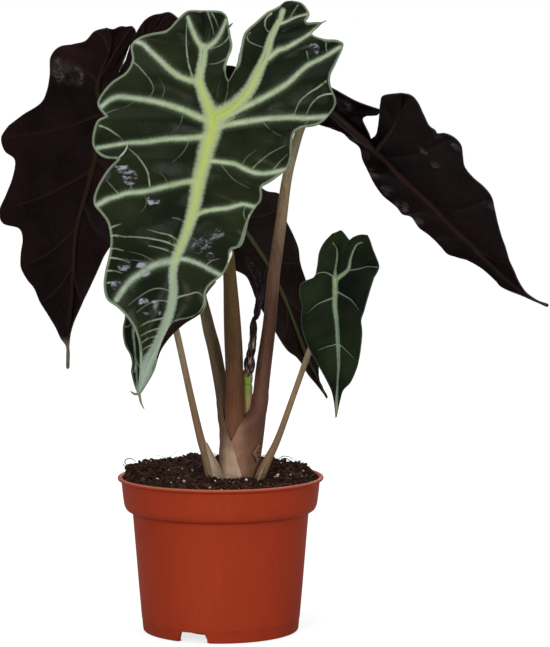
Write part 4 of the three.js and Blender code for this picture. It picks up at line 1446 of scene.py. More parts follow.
FRONT_VEINS = (
    Vein(Rank.RIB, ((213, 116), (212.6, 131), (207, 148), (203, 165), (199, 181), (194, 208),
                    (187, 231), (178, 253), (174.6, 262)), (5.1, 2.7), (1, 0.65)),
    Vein(Rank.RIB, ((174.6, 262), (173, 275), (174, 290), (171, 308), (166.5, 321), (161, 335.5),
                    (155, 349), (149, 360), (144.5, 375), (139, 390)), (2.4, 3.4), (0.3, 0)),
    Vein(Rank.RIB, ((213, 118), (209, 108), (204, 96), (200.5, 86), (199.5, 80)), (4.2, 2.8),
         (1, 0.7)),
    Vein(Rank.RIB, ((199.5, 80), (201, 70), (203, 60), (204, 48)), (2.7, 2.3), (0.55, 0.1)),
    Vein(Rank.RIB, ((213, 117), (226, 112), (238, 103), (250.5, 88), (259, 71)), (4.8, 2.9),
         (1, 0.65)),
    Vein(Rank.RIB, ((259, 71), (266, 55), (271, 38), (279, 22), (283, 12)), (2.8, 1.4), (0.6, 0.3)),
    Vein(Rank.SIDE, ((204, 50), (197, 40), (192, 29), (188.5, 19)), (2.6, 1.5), (0.6, 0)),
    Vein(Rank.SIDE, ((204, 50), (213, 44), (220, 35), (226, 21)), (2.6, 1.3), (0.6, 0)),
    Vein(Rank.SIDE, ((199, 83), (190, 80.5), (180, 77), (170, 70), (160, 60), (150, 51), (144, 45),
                     (136, 42)), (2.6, 1.9), (0.6, 0)),
    Vein(Rank.SIDE, ((210, 121), (200, 117.5), (183, 110), (157.5, 102), (132, 98), (120, 97),
                     (111, 100), (103, 107)), (2.9, 1.9), (0.6, 0)),
    Vein(Rank.SIDE, ((208, 136), (190, 138), (166, 139), (145, 142), (128, 143), (99, 148)),
         (2.5, 1.7), (0.6, 0)),
    Vein(Rank.SIDE, ((198, 180), (184, 182), (166, 186), (145, 191), (128, 192.5), (118, 196),
                     (108, 199), (98, 205)), (2.3, 2.1), (0.6, 0)),
    Vein(Rank.SIDE, ((175, 260), (162, 262), (153, 265), (146, 269), (139, 274), (132, 279),
                     (124, 288), (117, 299)), (2.9, 2.3)),
    Vein(Rank.SIDE, ((268, 59), (278, 51), (287, 48), (304, 38), (315, 31), (322, 24.5)),
         (2.3, 1.1), (0.6, 0)),
    Vein(Rank.SIDE, ((277, 25), (284, 23.5), (296, 18), (307, 15.5)), (1.5, 0.8), (0.6, 0)),
    Vein(Rank.SIDE, ((220, 121), (232, 113), (245, 107), (269, 95), (287, 84), (300, 72),
                     (309, 65), (324.5, 57), (339, 48)), (2.7, 1.7), (0.6, 0)),
    Vein(Rank.SIDE, ((219, 127), (232, 124), (245, 122), (269, 119), (290, 117.5), (304, 118),
                     (325, 117)), (2.4, 2.1), (0.6, 0)),
    Vein(Rank.SIDE, ((205, 160), (215, 161), (226, 162.5), (235, 164), (243, 168), (252, 172),
                     (261, 173.5), (269, 173), (286, 169.5)), (2.0, 1.9), (0.6, 0)),
    Vein(Rank.SIDE, ((195, 216), (203, 211.5), (213, 209.5), (227, 208), (238, 205), (244, 204),
                     (256, 207)), (1.9, 1.9), (0.6, 0)),
    Vein(Rank.SIDE, ((178, 258), (187, 259), (196, 262), (203, 265), (210, 269), (221, 275)),
         (2.0, 1.9)),
    *threads(
        0.8, 0.85,
        ((151, 190), (149.5, 180), (148, 172), (143, 163), (137, 156), (129, 149)),
        ((194, 80), (189, 66), (187, 50), (186.5, 35), (188, 20)),
        ((180, 242), (170, 235), (158, 232), (148, 229)),
        ((177, 246), (165, 241), (150, 238), (136, 236.5), (117, 236)),
        ((176, 253), (162, 248), (148, 245)),
        ((271, 15), (266, 20), (264.5, 26), (266, 31), (270, 34)),
        ((325, 82), (317, 88), (309, 93), (299, 102), (293, 116)),
        ((331, 94), (324, 95), (317, 98), (310, 105), (306, 114)),
        ((101, 126), (107, 128), (114, 132), (122, 138), (124, 143)),
        ((174, 299), (181, 296), (189, 294), (197, 292), (202, 295), (205, 299)),
        ((167, 317), (158, 318.5), (148, 321.5), (140, 326)),
        ((163, 327), (155, 328.5), (148, 331), (141, 335)),
        ((161, 335), (153, 336), (147, 338), (142, 342)),
        ((158, 343), (152, 344), (147, 346), (143, 349)),
        ((155, 351), (150, 352), (146, 354), (143, 357)),
        ((109, 229), (115, 226), (122, 224)), ((108, 236), (118, 235), (127, 237)),
        ((108, 248), (116, 248), (124, 250)), ((110, 257), (119, 258), (130, 262)),
        ((107, 270), (115, 270), (122, 272)), ((108, 282), (114, 281), (120, 282)),
    ),
    *threads(
        0.7, 0.5,
        ((186, 222), (179, 219), (172, 217.4)),
        ((120, 194), (113, 186), (106, 178)), ((134, 191), (131, 184), (133, 176)),
        ((134, 63), (143, 72), (150, 80), (154, 88), (153, 93), (149, 99)),
        ((297, 7), (292, 14), (286, 23)), ((306, 14), (296, 17), (289, 20), (281, 26)),
        ((250, 34), (247, 38), (249, 43), (255, 46), (264, 49)),
        ((306, 52), (307, 57), (309, 63)), ((325, 44), (325, 49), (327, 54)),
        ((212, 15), (215, 21), (218, 29)), ((208, 14), (211, 24), (214, 36)),
        ((229, 38), (225, 43), (217, 48), (207, 50)), ((230, 54), (226, 60), (217, 64.5), (207, 65)),
        ((252, 169), (260, 161), (270, 153), (285, 145)), ((272, 171), (279, 162), (287, 154)),
        ((246, 205), (243, 214), (246, 222)),
        ((170, 324), (178, 319), (187, 317), (199, 313)),
        ((173, 291), (160, 288), (150, 290), (139, 297), (129, 305)),
        ((172, 302), (160, 300), (148, 304), (137, 312)),
        ((204, 266), (212, 260), (219, 258)),
    ),
    *threads(
        0.6, 0.26,
        ((154, 260), (142, 254), (130, 251)), ((150, 263), (138, 259.6), (126, 259)),
        ((229, 80), (228, 93), (223, 107)), ((104, 116), (113, 112), (125, 109), (135, 102)),
        ((170, 186), (164, 176), (158, 172)), ((240, 168), (247, 157), (256, 150)),
        ((262, 122), (270, 130), (282, 137)), ((310, 119), (302, 128), (297, 138)),
        ((160, 103), (165, 90), (160, 80)), ((184, 111), (180, 125), (170, 134)),
        ((144, 192), (147, 203), (142, 212)), ((235, 104), (250, 104), (262, 98)),
        ((190, 139), (184, 152), (172, 163)), ((220, 163), (232, 178), (250, 188)),
        ((186, 231), (196, 240), (212, 246)),
    ),
    Vein(Rank.SIDE, ((139.5, 352), (140.5, 362), (140.5, 374), (139.5, 386)), (1.6, 2.4)),
)

# The glossiest patches of the front leaf, with painted glints and painted dark reflection: x, y and
# radius on the front view
WET_SPOTS = (
    (122, 168, 11), (130, 177, 11), (154, 200, 8), (124, 264, 9), (144, 268, 10), (118, 284, 8),
    (144, 303, 8), (154, 305, 8), (146, 312, 8), (157, 312, 7), (313, 50, 8), (211, 256, 6),
)
SLANTED_SPOTS = ((198, 248, 8), (205, 243, 10), (212, 238, 11), (219, 234, 10), (226, 229, 7))

# Glossy patches with painted sheen and glints on the under sides of the leaves at the left and the right
WET_LEFT = ((64, 72, 20), (78, 76, 14))
WET_RIGHT = ((437, 134, 7), (456, 146, 9), (434, 165, 8), (489, 204, 10), (424, 150, 7),
             (343, 106, 15), (356, 122, 11), (330, 97, 12), (316, 92, 9), (362, 154, 11),
             (372, 172, 12), (386, 192, 11), (401, 206, 12), (416, 221, 11))

SMALL_RIGHT_VEINS = (
    Vein(Rank.RIB, ((335, 278), (335, 292), (335, 308), (337, 323.5), (338, 344), (339, 363),
                    (338, 379), (336, 411)), (1.7, 0.6), (1, -2.2)),
    Vein(Rank.RIB, ((335, 279), (335.5, 270), (337, 260), (337, 249), (333, 243)), (1.1, 0.5),
         (0.5, 0)),
    Vein(Rank.RIB, ((335, 279), (340, 276), (348, 269), (351, 256.5), (356, 245), (362, 242)),
         (1.4, 0.5), (0.6, 0)),
    Vein(Rank.SIDE, ((335, 277), (326, 272), (318.5, 272.5), (314, 275)), (0.9, 0.25)),
    Vein(Rank.SIDE, ((347, 270), (358, 268.5), (368, 266), (377, 267)), (0.8, 0.4)),
    Vein(Rank.SIDE, ((334, 297), (326, 300), (317, 304), (307, 313)), (0.9, 0.2)),
    Vein(Rank.SIDE, ((335, 290), (344, 295), (352, 300), (359, 310)), (0.9, 0.2)),
    Vein(Rank.SIDE, ((338, 343), (332, 345), (326, 346.5), (315, 351)), (0.6, 0.15)),
    Vein(Rank.SIDE, ((338, 343), (343, 347), (348, 352), (357, 361)), (0.6, 0.15)),
)


# Blades, laid out on the front view

LEAF_A = LeafBlade(
    name="blade_a",
    hub=(212.6, 120), tip=(138.5, 395), depth=-46, lean=-0.4, arch=0.11, roll=0.05,
    fold=-0.1, cup=0.16, swell=2.4, ruffle=5, facing=Facing.UPPER,
    midrib=(
      (212.6, 120, 107, 117, 0.7, 304, 127, 0.8), (211.7, 126, 98.5, 121, 0.8, 294, 133, 1),
      (210.2, 133, 94, 134, 0.5, 291.5, 146, 0.8), (208.5, 140, 94, 146, 0, 291, 158, 0.3),
      (207, 147, 101, 155, 0.2, 286.5, 169, 0), (205.5, 154, 110, 158.3, 0.6, 277, 177, 0.3),
      (203.8, 161, 119, 158.3, 0.9, 269, 182.5, 0.7), (202.3, 168, 109, 169, 0.9, 262, 187, 0.9),
      (200.8, 175, 100, 183, 0.6, 262, 194, 0.6), (199, 183, 95, 195, 0.1, 260.5, 201, 0.2),
      (197.3, 191, 95, 204, 0, 255, 208, 0), (195.4, 200, 101, 212, 0.3, 249, 219, 0.5),
      (193.2, 209, 108, 222, 0.7, 244.5, 232, 1), (190.5, 218, 111, 236, 1, 242, 240, 0.9),
      (187.5, 227, 110.5, 249, 0.9, 238, 247, 0.8), (184, 236, 108, 261, 0.7, 231, 250, 0.7),
      (180, 246, 105.4, 272, 0.5, 229.5, 261, 0.3), (176.4, 256, 104.2, 286, 0.2, 223, 274, 0),
      (174.4, 266, 107.6, 299, 0, 211, 284, 0.6), (173.5, 277, 117.4, 306.4, 0.2, 206, 292, 0.9),
      (173.7, 289, 125.8, 315, 0.6, 205, 304, 1), (171.8, 301, 134, 327, 0.9, 199.5, 313.5, 0.8),
      (168, 313, 138.5, 340, 1, 184, 323.5, 0.6), (163, 327, 140, 354, 0.8, 170, 336.5, 0.5),
      (157, 343, 139.8, 367, 0.5, 160, 351, 0.3), (150.5, 358, 139, 379, 0.2, 154, 370, 0.1),
      (144.5, 374, 138, 387.5, 0, 145, 386, 0), (138.5, 395, 138.5, 395, 0, 138.5, 395, 0),
    ),
    lobes=(
      (
        (212.6, 120, 229, 82, 0.5, 107, 117, 0.7), (210.5, 111, 226, 76, 0.8, 99, 106, 0),
        (207, 101, 226, 68, 1, 101, 97, 0.3), (203.5, 91, 229, 58, 0.8, 112, 83.5, 0.9),
        (200.8, 81, 232.5, 48, 0.5, 127, 73, 1), (200.8, 71, 231, 38, 0.2, 133, 61, 0.5),
        (202, 61, 229, 28, 0, 132, 47, 0.1), (203.5, 52, 227, 18, 0.3, 140, 38.5, 0.1),
        (204.3, 44, 222, 13, 0.6, 153, 34, 0.7), (204.5, 36, 215, 12, 0.8, 168, 31, 1),
        (204.2, 28, 210, 12, 0.8, 178, 21, 0.5), (203.6, 20, 206, 12, 0.7, 188, 12.5, 0),
        (202, 12.3, 202, 12.3, 0.5, 202, 12.3, 0.5),
      ),
      (
        (212.6, 120, 229, 82, 0.5, 304, 127, 0.8), (220, 115.5, 233, 75, 0.7, 318, 124.5, 0.3),
        (228, 110.5, 238, 64, 1, 329, 115, 0), (236, 104.5, 240, 53, 1, 335.5, 102, 0.4),
        (243, 97, 241.5, 45, 0.9, 330, 86, 0.9), (249, 88.5, 244, 35, 0.8, 330, 76, 1),
        (254.5, 79, 249, 29, 0.7, 336, 63, 0.5), (259.5, 69, 255, 24, 0.6, 342.8, 46, 0),
        (263.5, 60, 261, 18.5, 0.5, 336, 40.5, 0.5), (266.5, 52, 266, 14.2, 0.4, 323, 40, 0.7),
        (269, 45, 270.5, 11.6, 0.35, 311.5, 34.5, 0.5), (271, 38.5, 275, 9.6, 0.2, 321, 23.5, 0.1),
        (273, 32, 278.5, 7.6, 0.1, 306, 23, 0.6),
        (276.5, 22.5, 282, 5.5, 0, 309, 15.5, 0.2), (281, 12, 286, 3, 0.2, 302, 5, 0.5),
        (292, 2.5, 292, 2.5, 0.4, 292, 2.5, 0.4),
      ),
    ),
    veins=FRONT_VEINS, along=7, across=50, ridge=1.6 * MM,
    turned=((207, 296), (205.5, 303), (200.5, 311), (189, 318), (173, 321.5), (168, 329),
            (162, 341), (156.5, 356), (158, 372), (190, 345), (212, 315)),
)

LEAF_B = LeafBlade(
    name="blade_b",
    hub=(108, 112), tip=(68, 367), depth=46, lean=0.22, arch=0.05, roll=-0.55,
    fold=0.12, cup=-0.1, swell=2.2, ruffle=6, facing=Facing.UNDER,
    midrib=(
      (108, 112, 10.4, 125.4, 0.1, 205, 128, 0.5), (105, 123, 3.2, 137, 0, 196, 139, 0),
      (102, 135, 6.5, 150, 0.5, 184, 149, 0.6), (99.5, 147, 16.5, 159, 1, 174, 162, 1),
      (97, 158, 14.5, 176, 0.8, 165, 178, 0.5), (94, 169, 8, 193, 0.2, 157, 194, 0),
      (91, 180, 1, 209.6, 0, 145, 207, 0.5), (88, 191, 4.4, 222, 0.3, 133, 220, 1),
      (84.7, 202, 20, 227, 1, 122, 233, 0.5), (81.6, 213, 24, 238, 0.7, 112, 244, 0),
      (78.8, 225, 22, 252, 0.2, 105, 254, 0.3), (76.6, 238, 22, 266, 0, 100, 265, 0.8),
      (75.5, 251, 28, 278, 0.5, 95, 276, 1), (75, 264, 35, 287, 0.8, 89, 289, 0.6),
      (74.4, 277, 41, 301, 0.3, 83, 301, 0.1), (73.4, 290, 49, 314, 0.5, 78, 312, 0.4),
      (72, 303, 56, 326, 0.3, 74, 321, 0.4), (70.5, 317, 61, 337, 0.2, 71, 331, 0.3),
      (69, 332, 66.2, 345, 0.1, 69.5, 340, 0.1), (68.4, 348, 67.8, 355, 0, 68.7, 352, 0),
      (68, 367, 68, 367, 0, 68, 367, 0),
    ),
    lobes=(
      (
        (108, 112, 121, 70, 0.6, 10.4, 125.4, 0.1), (104, 104.5, 124, 62, 0.9, 26, 113.6, 0.5),
        (101, 97, 128, 53, 1, 42.6, 102.8, 0.7), (99.5, 90, 131, 45, 0.8, 48.6, 91, 1),
        (100.5, 82, 137, 34.5, 0.4, 51.6, 75, 0.7), (103, 74, 133.4, 27.2, 0.1, 52.4, 58, 0.1),
        (106, 66, 127, 27.5, 0.3, 60, 48, 0.2), (109, 58.5, 122, 27, 0.4, 73, 45, 0.8),
        (111, 50, 118, 28.5, 0.6, 86, 42, 0.6), (112, 41, 114, 30, 0.7, 96, 32, 0.1),
        (108, 29.2, 108, 29.2, 0.5, 108, 29.2, 0.5),
      ),
      (
        (108, 112, 121, 70, 0.6, 205, 128, 0.5), (115, 105, 126, 62, 0.9, 221, 113, 1),
        (122.5, 96, 130, 51, 0.8, 236, 97, 0.7), (130, 86, 134, 40, 0.5, 244, 80, 0.1),
        (137.5, 75, 139, 30.5, 0.3, 237, 68, 0.4), (143.5, 63, 144, 23, 0.2, 223, 65, 0.9),
        (148.5, 51, 149, 18.8, 0.4, 208, 52, 0.8), (153, 39, 153.5, 16.3, 0.6, 192, 34, 0.4),
        (157, 27, 157, 15.4, 0.6, 173, 14.6, 0.1), (163, 15, 163, 15, 0.4, 163, 15, 0.4),
      ),
    ),
    rib_width=3.2, along=8, across=46, ridge=1.5 * MM,
)

LEAF_C = LeafBlade(
    name="blade_c",
    hub=(375, 150), tip=(548, 305), depth=60, lean=0.16, arch=0.02, roll=-1.5,
    fold=-0.2, cup=0.1, swell=2.2, ruffle=5, facing=Facing.UNDER,
    midrib=(
      (375, 150, 436, 134, 0.5, 350, 139.5, 0.9), (383, 157.5, 442, 133, 0.2, 359, 147, 0.8),
      (391, 165, 452, 136.5, 0, 362, 159, 0.4), (400, 174, 460, 145, 0.2, 367.5, 170, 0),
      (409.5, 184, 462, 156, 0.6, 374, 183, 0.6), (418, 192, 464, 167, 1, 383, 195, 1),
      (426, 199.5, 472, 177, 0.7, 396, 206, 0.3), (434, 207, 483, 186.5, 0.2, 402, 213, 0.1),
      (442, 215.5, 491, 197, 0, 411, 216, 0.7), (450, 224, 494, 209, 0.4, 419, 227, 0.9),
      (458, 232, 497, 222, 0.9, 431, 236, 0.2), (467, 240, 501, 236, 0.8, 440, 245, 0.6),
      (476, 248.5, 505, 247, 0.4, 449, 254, 0.7), (486, 258.5, 509, 260, 0.2, 467, 259.5, 0.2),
      (496, 268, 514, 271, 0.4, 482, 268, 0.4), (507, 278, 518.5, 281, 0.3, 495, 279.5, 0.7),
      (517, 286.5, 525, 291, 0.1, 502, 287, 0.3), (529, 295, 533, 297.4, 0, 522, 294.8, 0.1),
      (538, 300.6, 540.4, 301.6, 0, 536.6, 301.2, 0), (548, 305, 548, 305, 0, 548, 305, 0),
    ),
    lobes=(
      (
        (375, 150, 370, 139, 0.6, 436, 134, 0.5), (381, 143, 375, 135, 0.8, 434, 130, 0.6),
        (387, 136, 377.3, 126, 1, 428, 125.5, 0.8), (392, 128.5, 378.6, 116, 0.8, 423, 115.5, 0.9),
        (396, 120.5, 379.6, 104, 0.3, 417, 103, 0.6), (399, 111, 382.4, 96, 0.4, 410, 95.5, 0.3),
        (400, 93.5, 400, 93.5, 0.6, 400, 93.5, 0.6),
      ),
      (
        (375, 150, 370, 139, 0.6, 350, 139.5, 0.9), (366, 143, 368, 133, 0.9, 338, 128.5, 0.5),
        (357, 136, 365, 127, 1, 324, 125.5, 0.1), (348, 129, 362, 120.5, 0.9, 311, 120, 0.2),
        (340, 123, 363, 117.5, 0.8, 302, 110, 0.6), (334, 116, 364.5, 116.2, 0.7, 300, 97, 0.9),
        (334, 110, 366, 115.7, 0.6, 307, 86, 0.5), (342, 107.5, 369, 115.4, 0.6, 319, 83, 0.2),
        (354, 110, 373, 115.2, 0.5, 333, 89, 0.6), (366, 111.5, 377, 114.8, 0.4, 356, 101.5, 1),
        (380, 110, 380, 110, 0.4, 380, 110, 0.4),
      ),
    ),
    rib_width=3.0, along=8, across=38, ridge=1.5 * MM,
)

LEAF_D = LeafBlade(
    name="blade_d",
    hub=(222, 193), tip=(327, 397), depth=70, lean=0.2, arch=0.04, roll=0.45,
    fold=0.1, cup=-0.1, swell=1.8, ruffle=4, facing=Facing.UNDER,
    midrib=(
      (222, 193, 256, 182, 1, 183, 199, 0.1), (228, 203, 266, 190, 0.6, 189, 213, 0.2),
      (234.5, 213.5, 279, 193, 0.2, 197, 225, 0.8), (241, 224, 284, 205, 0, 205, 238, 0.7),
      (247.5, 234, 285.5, 218, 0.5, 214, 250, 0.1), (253.5, 243, 292, 232, 1, 224, 262, 0.3),
      (260, 252.5, 298, 247, 0.6, 235, 269, 0.9), (266, 262, 300, 262, 0.1, 246, 275, 0.6),
      (271.5, 272.5, 305, 277, 0.4, 251.5, 286, 0.1), (277, 283.5, 309, 290, 0.9, 256, 298, 0.4),
      (282, 294, 312, 303, 0.5, 263, 311, 0.9), (286.7, 305, 314, 316, 0, 272, 325, 0.5),
      (291, 316, 316, 330, 0.4, 280, 339, 0.1), (295.5, 328, 317, 343, 0.7, 288, 350, 0.5),
      (300.5, 341, 318, 354, 0.4, 296, 356, 0.7), (305.5, 354, 318.5, 365, 0.2, 302.5, 364, 0.4),
      (311.5, 367, 319, 376, 0.1, 308.4, 374, 0.2), (318.5, 380, 321, 386, 0, 316.4, 383.5, 0.1),
      (327, 397, 327, 397, 0, 327, 397, 0),
    ),
    lobes=(
      (
        (222, 193, 224, 168, 0.6, 256, 182, 1), (227, 186, 228, 162, 0.9, 258, 173, 0.7),
        (232.5, 178.5, 233, 157, 0.6, 256, 163, 0.2), (238, 170, 238.5, 154, 0.4, 250, 156, 0.3),
        (244, 153, 244, 153, 0.3, 244, 153, 0.3),
      ),
      (
        (222, 193, 224, 168, 0.6, 183, 199, 0.1), (216, 185.5, 219, 160, 0.9, 179, 185, 0.6),
        (210, 177, 212, 151, 0.5, 180, 170, 1), (204, 167, 204, 146, 0.3, 185, 155, 0.5),
        (195, 145, 195, 145, 0.3, 195, 145, 0.3),
      ),
    ),
    rib_width=2.6, along=8, across=34, ridge=1.3 * MM,
)

LEAF_E = LeafBlade(
    name="blade_e",
    hub=(335, 279), tip=(336, 417), depth=-26, lean=-0.26, arch=0.08, roll=-0.3,
    fold=-0.12, cup=0.12, swell=1.3, ruffle=2.6, facing=Facing.UPPER,
    midrib=(
      (335, 279, 306.5, 280, 0.5, 374, 277, 0.6), (335, 286, 300.5, 284, 0.5, 370.5, 288, 0.9),
      (335, 294, 299.4, 294, 0.7, 367, 300, 0.5), (335.3, 302, 302, 305, 0.4, 364, 311, 0.1),
      (336, 311, 301.3, 315, 0.2, 361.2, 320, 0.3), (336.8, 320, 301.5, 325, 0.5, 362.2, 331, 0.9),
      (337.5, 330, 304, 336, 0.8, 361.3, 344, 0.6), (338, 341, 309, 348, 0.3, 359, 360, 0),
      (338.4, 352, 315, 359, 0, 355.5, 372, 0.4), (338.5, 363, 321, 370, 0.5, 350.5, 382.5, 0.7),
      (338.3, 375, 327.5, 382, 0.8, 343.6, 390, 0.5), (337.6, 387, 332, 392, 0.4, 340.4, 399, 0.2),
      (336.8, 400, 334.7, 404, 0.1, 338, 408, 0.1), (336, 417, 336, 417, 0, 336, 417, 0),
    ),
    lobes=(
      (
        (335, 279, 349.6, 240, 0.5, 306.5, 280, 0.5), (336.5, 270, 347, 236.5, 0.6, 314, 276.5, 0.5),
        (337.5, 261, 344, 232.5, 0.5, 317, 266, 0.7), (337, 252, 341, 230, 0.3, 319, 252, 0.8),
        (335, 244, 337, 231.5, 0.2, 324.5, 241.5, 0.4),
        (332.5, 233.5, 332.5, 233.5, 0.2, 332.5, 233.5, 0.2),
      ),
      (
        (335, 279, 349.6, 240, 0.5, 374, 277, 0.6), (340.5, 274, 351.5, 238, 0.6, 377.5, 271, 0.4),
        (346, 268.5, 354, 236.2, 0.6, 379, 265, 0.1), (350, 260.5, 357.5, 234.8, 0.4, 376.5, 257.5, 0.6),
        (354, 251.5, 361, 234.2, 0.2, 373, 249, 0.5), (358.5, 244.5, 363.5, 234.3, 0.1, 370, 240, 0.2),
        (367, 235.2, 367, 235.2, 0.1, 367, 235.2, 0.1),
      ),
    ),
    veins=SMALL_RIGHT_VEINS, along=7, across=28, ridge=0.9 * MM,
)

LEAF_F = LeafBlade(
    name="blade_f",
    hub=(157, 262), tip=(137.5, 391), depth=-48, lean=-0.3, arch=0.02, roll=0.6,
    fold=0, cup=0, swell=1, ruffle=1.6, facing=Facing.UPPER,
    midrib=(
      (157, 262, 137, 255, 0.5, 173, 262, 0.4), (153.5, 270, 130, 265, 0.9, 174, 271, 0.7),
      (150, 279, 127.5, 276, 0.5, 171, 281, 0.6), (146.5, 288, 127, 287, 0, 167, 291, 0.2),
      (143, 297, 128, 297, 0.4, 161.5, 301, 0.5), (139.5, 306, 126.5, 307, 0.9, 155, 311, 0.6),
      (136.3, 315, 125.3, 317, 0.5, 149.5, 321, 0.1), (134, 324, 123.5, 326, 0.1, 146, 331, 0.4),
      (133, 333, 123.4, 335, 0.3, 144.5, 341, 0.6), (133.7, 342, 125.5, 345, 0.8, 143.5, 350, 0.5),
      (134.6, 351, 130, 353.5, 0.9, 142.5, 360, 0.2), (135.4, 360, 132, 362, 0.5, 141.5, 369, 0.1),
      (136, 370, 131.2, 371, 0.2, 140.3, 377, 0.1), (136.5, 380, 133.6, 382, 0.3, 139, 385, 0),
      (137.5, 391, 137.5, 391, 0, 137.5, 391, 0),
    ),
    lobes=(
      (
        (157, 262, 159, 253, 0.5, 137, 255, 0.5), (154.5, 258, 157, 250, 0.6, 139, 250.5, 0.3),
        (151.5, 254, 153.5, 248, 0.4, 142.5, 248, 0.2), (147, 247, 147, 247, 0.3, 147, 247, 0.3),
      ),
      (
        (157, 262, 159, 253, 0.5, 173, 262, 0.4), (160.5, 258.5, 161.5, 250.5, 0.6, 174, 257, 0.3),
        (164, 255.5, 165, 249.5, 0.4, 172, 252.5, 0.2), (169, 250, 169, 250, 0.2, 169, 250, 0.2),
      ),
    ),
    rib_width=1.6, along=6, across=20, ridge=0.8 * MM,
)


# Stalks

@dataclass
class Stalks:
    """The leaf stalks, with the sheaths round their feet.

    Fields: routes, rows of x, y on the front view, depth and radius in millimetres, from the
    soil up; buried, how deep a stalk goes in the soil; sides and steps of each tube; skins,
    the heights and colours of the stalks whose letters stand before them.
    """

    routes: dict[str, tuple[Row, ...]] = field(default_factory=lambda: {
        "a": (
            (237, 485, 0, 6.2), (236, 468, 0, 6.6), (235.4, 440, 0, 6.4), (234.2, 400, -2, 5.2),
            (234, 368, -4, 5.2), (233.2, 341, -6, 5.2), (231.8, 310, -9, 4.7),
            (229.7, 274, -13, 3.8), (226, 225, -21, 3.1), (220, 170, -31, 2.9),
            (215.5, 137, -38, 2.8), (213.3, 123, -41.5, 2.4), (212.6, 119, -44.6, 1.0),
        ),
        "b": (
            (231, 482, 5, 4.6), (229, 455, 5, 4.9), (227, 430, 5, 4.5), (222.5, 395, 6, 4),
            (214.8, 352, 9, 3.9), (209.4, 330, 11, 3.7), (204, 306, 14, 3.2), (191, 262, 21, 2.9),
            (172, 212, 29, 2.7), (150, 165, 35.6, 2.6), (128, 131, 39.6, 2.5), (115, 118, 42.2, 2.2),
            (108, 113, 44.4, 1.1),
        ),
        "c": (
            (249, 480, 1, 4), (253, 455, 1, 4.6), (257, 429, 2, 4.4), (263, 371, 5, 4.5),
            (269.2, 323, 8, 3.9), (273.4, 276, 12, 3.7), (279.8, 230, 17, 3.4), (286.4, 180, 24, 3),
            (294.4, 148, 31, 2.6), (301, 127, 36, 2.5), (309, 112, 41, 2.4), (320, 107, 46, 2.4),
            (333, 114, 49, 2.4), (352, 130.5, 52, 2.4), (366, 142.5, 55.5, 2.2), (375, 150, 58.8, 1.0),
        ),
        "d": (
            (242, 480, 7, 4), (240, 450, 8, 4), (238, 405, 11, 3.2), (234, 350, 18, 2.8),
            (230, 290, 30, 2.6), (226, 240, 45, 2.5), (223, 205, 61, 2.3), (222, 194, 68.6, 1.2),
        ),
        "e": (
            (258.5, 488, -9, 3.4), (260.5, 476, -9, 3.2), (267, 461, -9, 2.6),
            (278, 438, -10, 1.95), (294.8, 391, -12, 1.7), (308.8, 352, -14, 1.75),
            (322.5, 318, -16, 1.8), (332, 292, -20, 1.9), (335, 281, -23, 1.6),
            (335.2, 279, -24.8, 0.7),
        ),
        "f": (
            (213, 486, -10, 3.8), (210.4, 472, -10, 3.5), (206, 455, -10, 2.8),
            (200.2, 437, -11, 2.3), (189.6, 391, -16, 2.0), (176.8, 332, -27, 1.9),
            (166.5, 293, -37, 2.1), (160, 271, -43, 1.9), (157.5, 264, -45.5, 1.5),
            (157, 262, -46.8, 0.7),
        ),
    })
    buried: float = 0.062
    steps: int = 9
    sides: int = 28
    skins: dict[str, tuple[Row, ...]] = field(default_factory=lambda: {
        "ef": (
            (0.085, 122, 99, 77), (0.1, 138, 112, 84), (0.12, 142, 112, 84),
            (0.14, 150, 125, 95), (0.17, 166, 146, 114), (0.21, 154, 140, 98),
        ),
        "c": (
            (0.085, 124, 93, 66), (0.125, 103, 66, 55), (0.149, 98, 66, 52),
            (0.165, 93, 64, 48), (0.178, 104, 72, 58), (0.19, 124, 90, 72),
            (0.216, 134, 102, 80), (0.24, 158, 133, 105), (0.262, 168, 148, 113),
            (0.28, 150, 142, 108), (0.30, 120, 96, 82),
        ),
        "a": (
            (0.085, 132, 86, 62), (0.116, 126, 82, 59), (0.128, 117, 75, 53),
            (0.14, 106, 69, 46), (0.163, 103, 74, 47), (0.175, 105, 79, 52),
            (0.19, 106, 82, 48), (0.215, 110, 88, 52), (0.30, 104, 98, 58),
        ),
        "bd": (
            (0.085, 116, 92, 68), (0.129, 102, 83, 62), (0.149, 116, 97, 74),
            (0.163, 124, 106, 79), (0.18, 130, 113, 87), (0.20, 126, 108, 78),
            (0.30, 116, 103, 68),
        ),
    })

    def finish_of(self, key: str) -> Petiole:
        """Gives the finish of one stalk.

        Args:
            key: the letter of the stalk's leaf.

        Returns:
            The finish.
        """
        stops = shades(*next(rows for keys, rows in self.skins.items() if key in keys))
        name = f"stalk_{key}_skin"
        if key in "ef":
            return Petiole(name, stops, 0.25, tone(110, 84, 60), tone(92, 72, 50))
        if key == "c":
            return Petiole(name, stops, far=(0.05, 0.064))
        return Petiole(name, stops)

    def build(self) -> None:
        """Builds and dresses every stalk."""
        for key, rows in self.routes.items():
            fine = refine(rows, self.steps)
            route = VIEW.place(fine[:, :2], fine[:, 2] * MM)
            foot = route[0].copy()
            foot[2] = self.buried
            route = np.vstack([foot, route])
            radii = np.concatenate([[fine[0, 3] * 0.8], fine[:, 3]]) * MM
            piece = tube(f"stalk_{key}", route, radii, self.sides, ripple=0.012)
            smooth(piece, 50)
            own = {"e": ("stalk_e",), "f": ("stalk_f",), "a": ("stalk_clump",)}
            slot = "stalk_pale" if key in "ef" else "stalk"
            dress(piece, self.finish_of(key).material(), slot=slot, stands_for=own.get(key, ()))


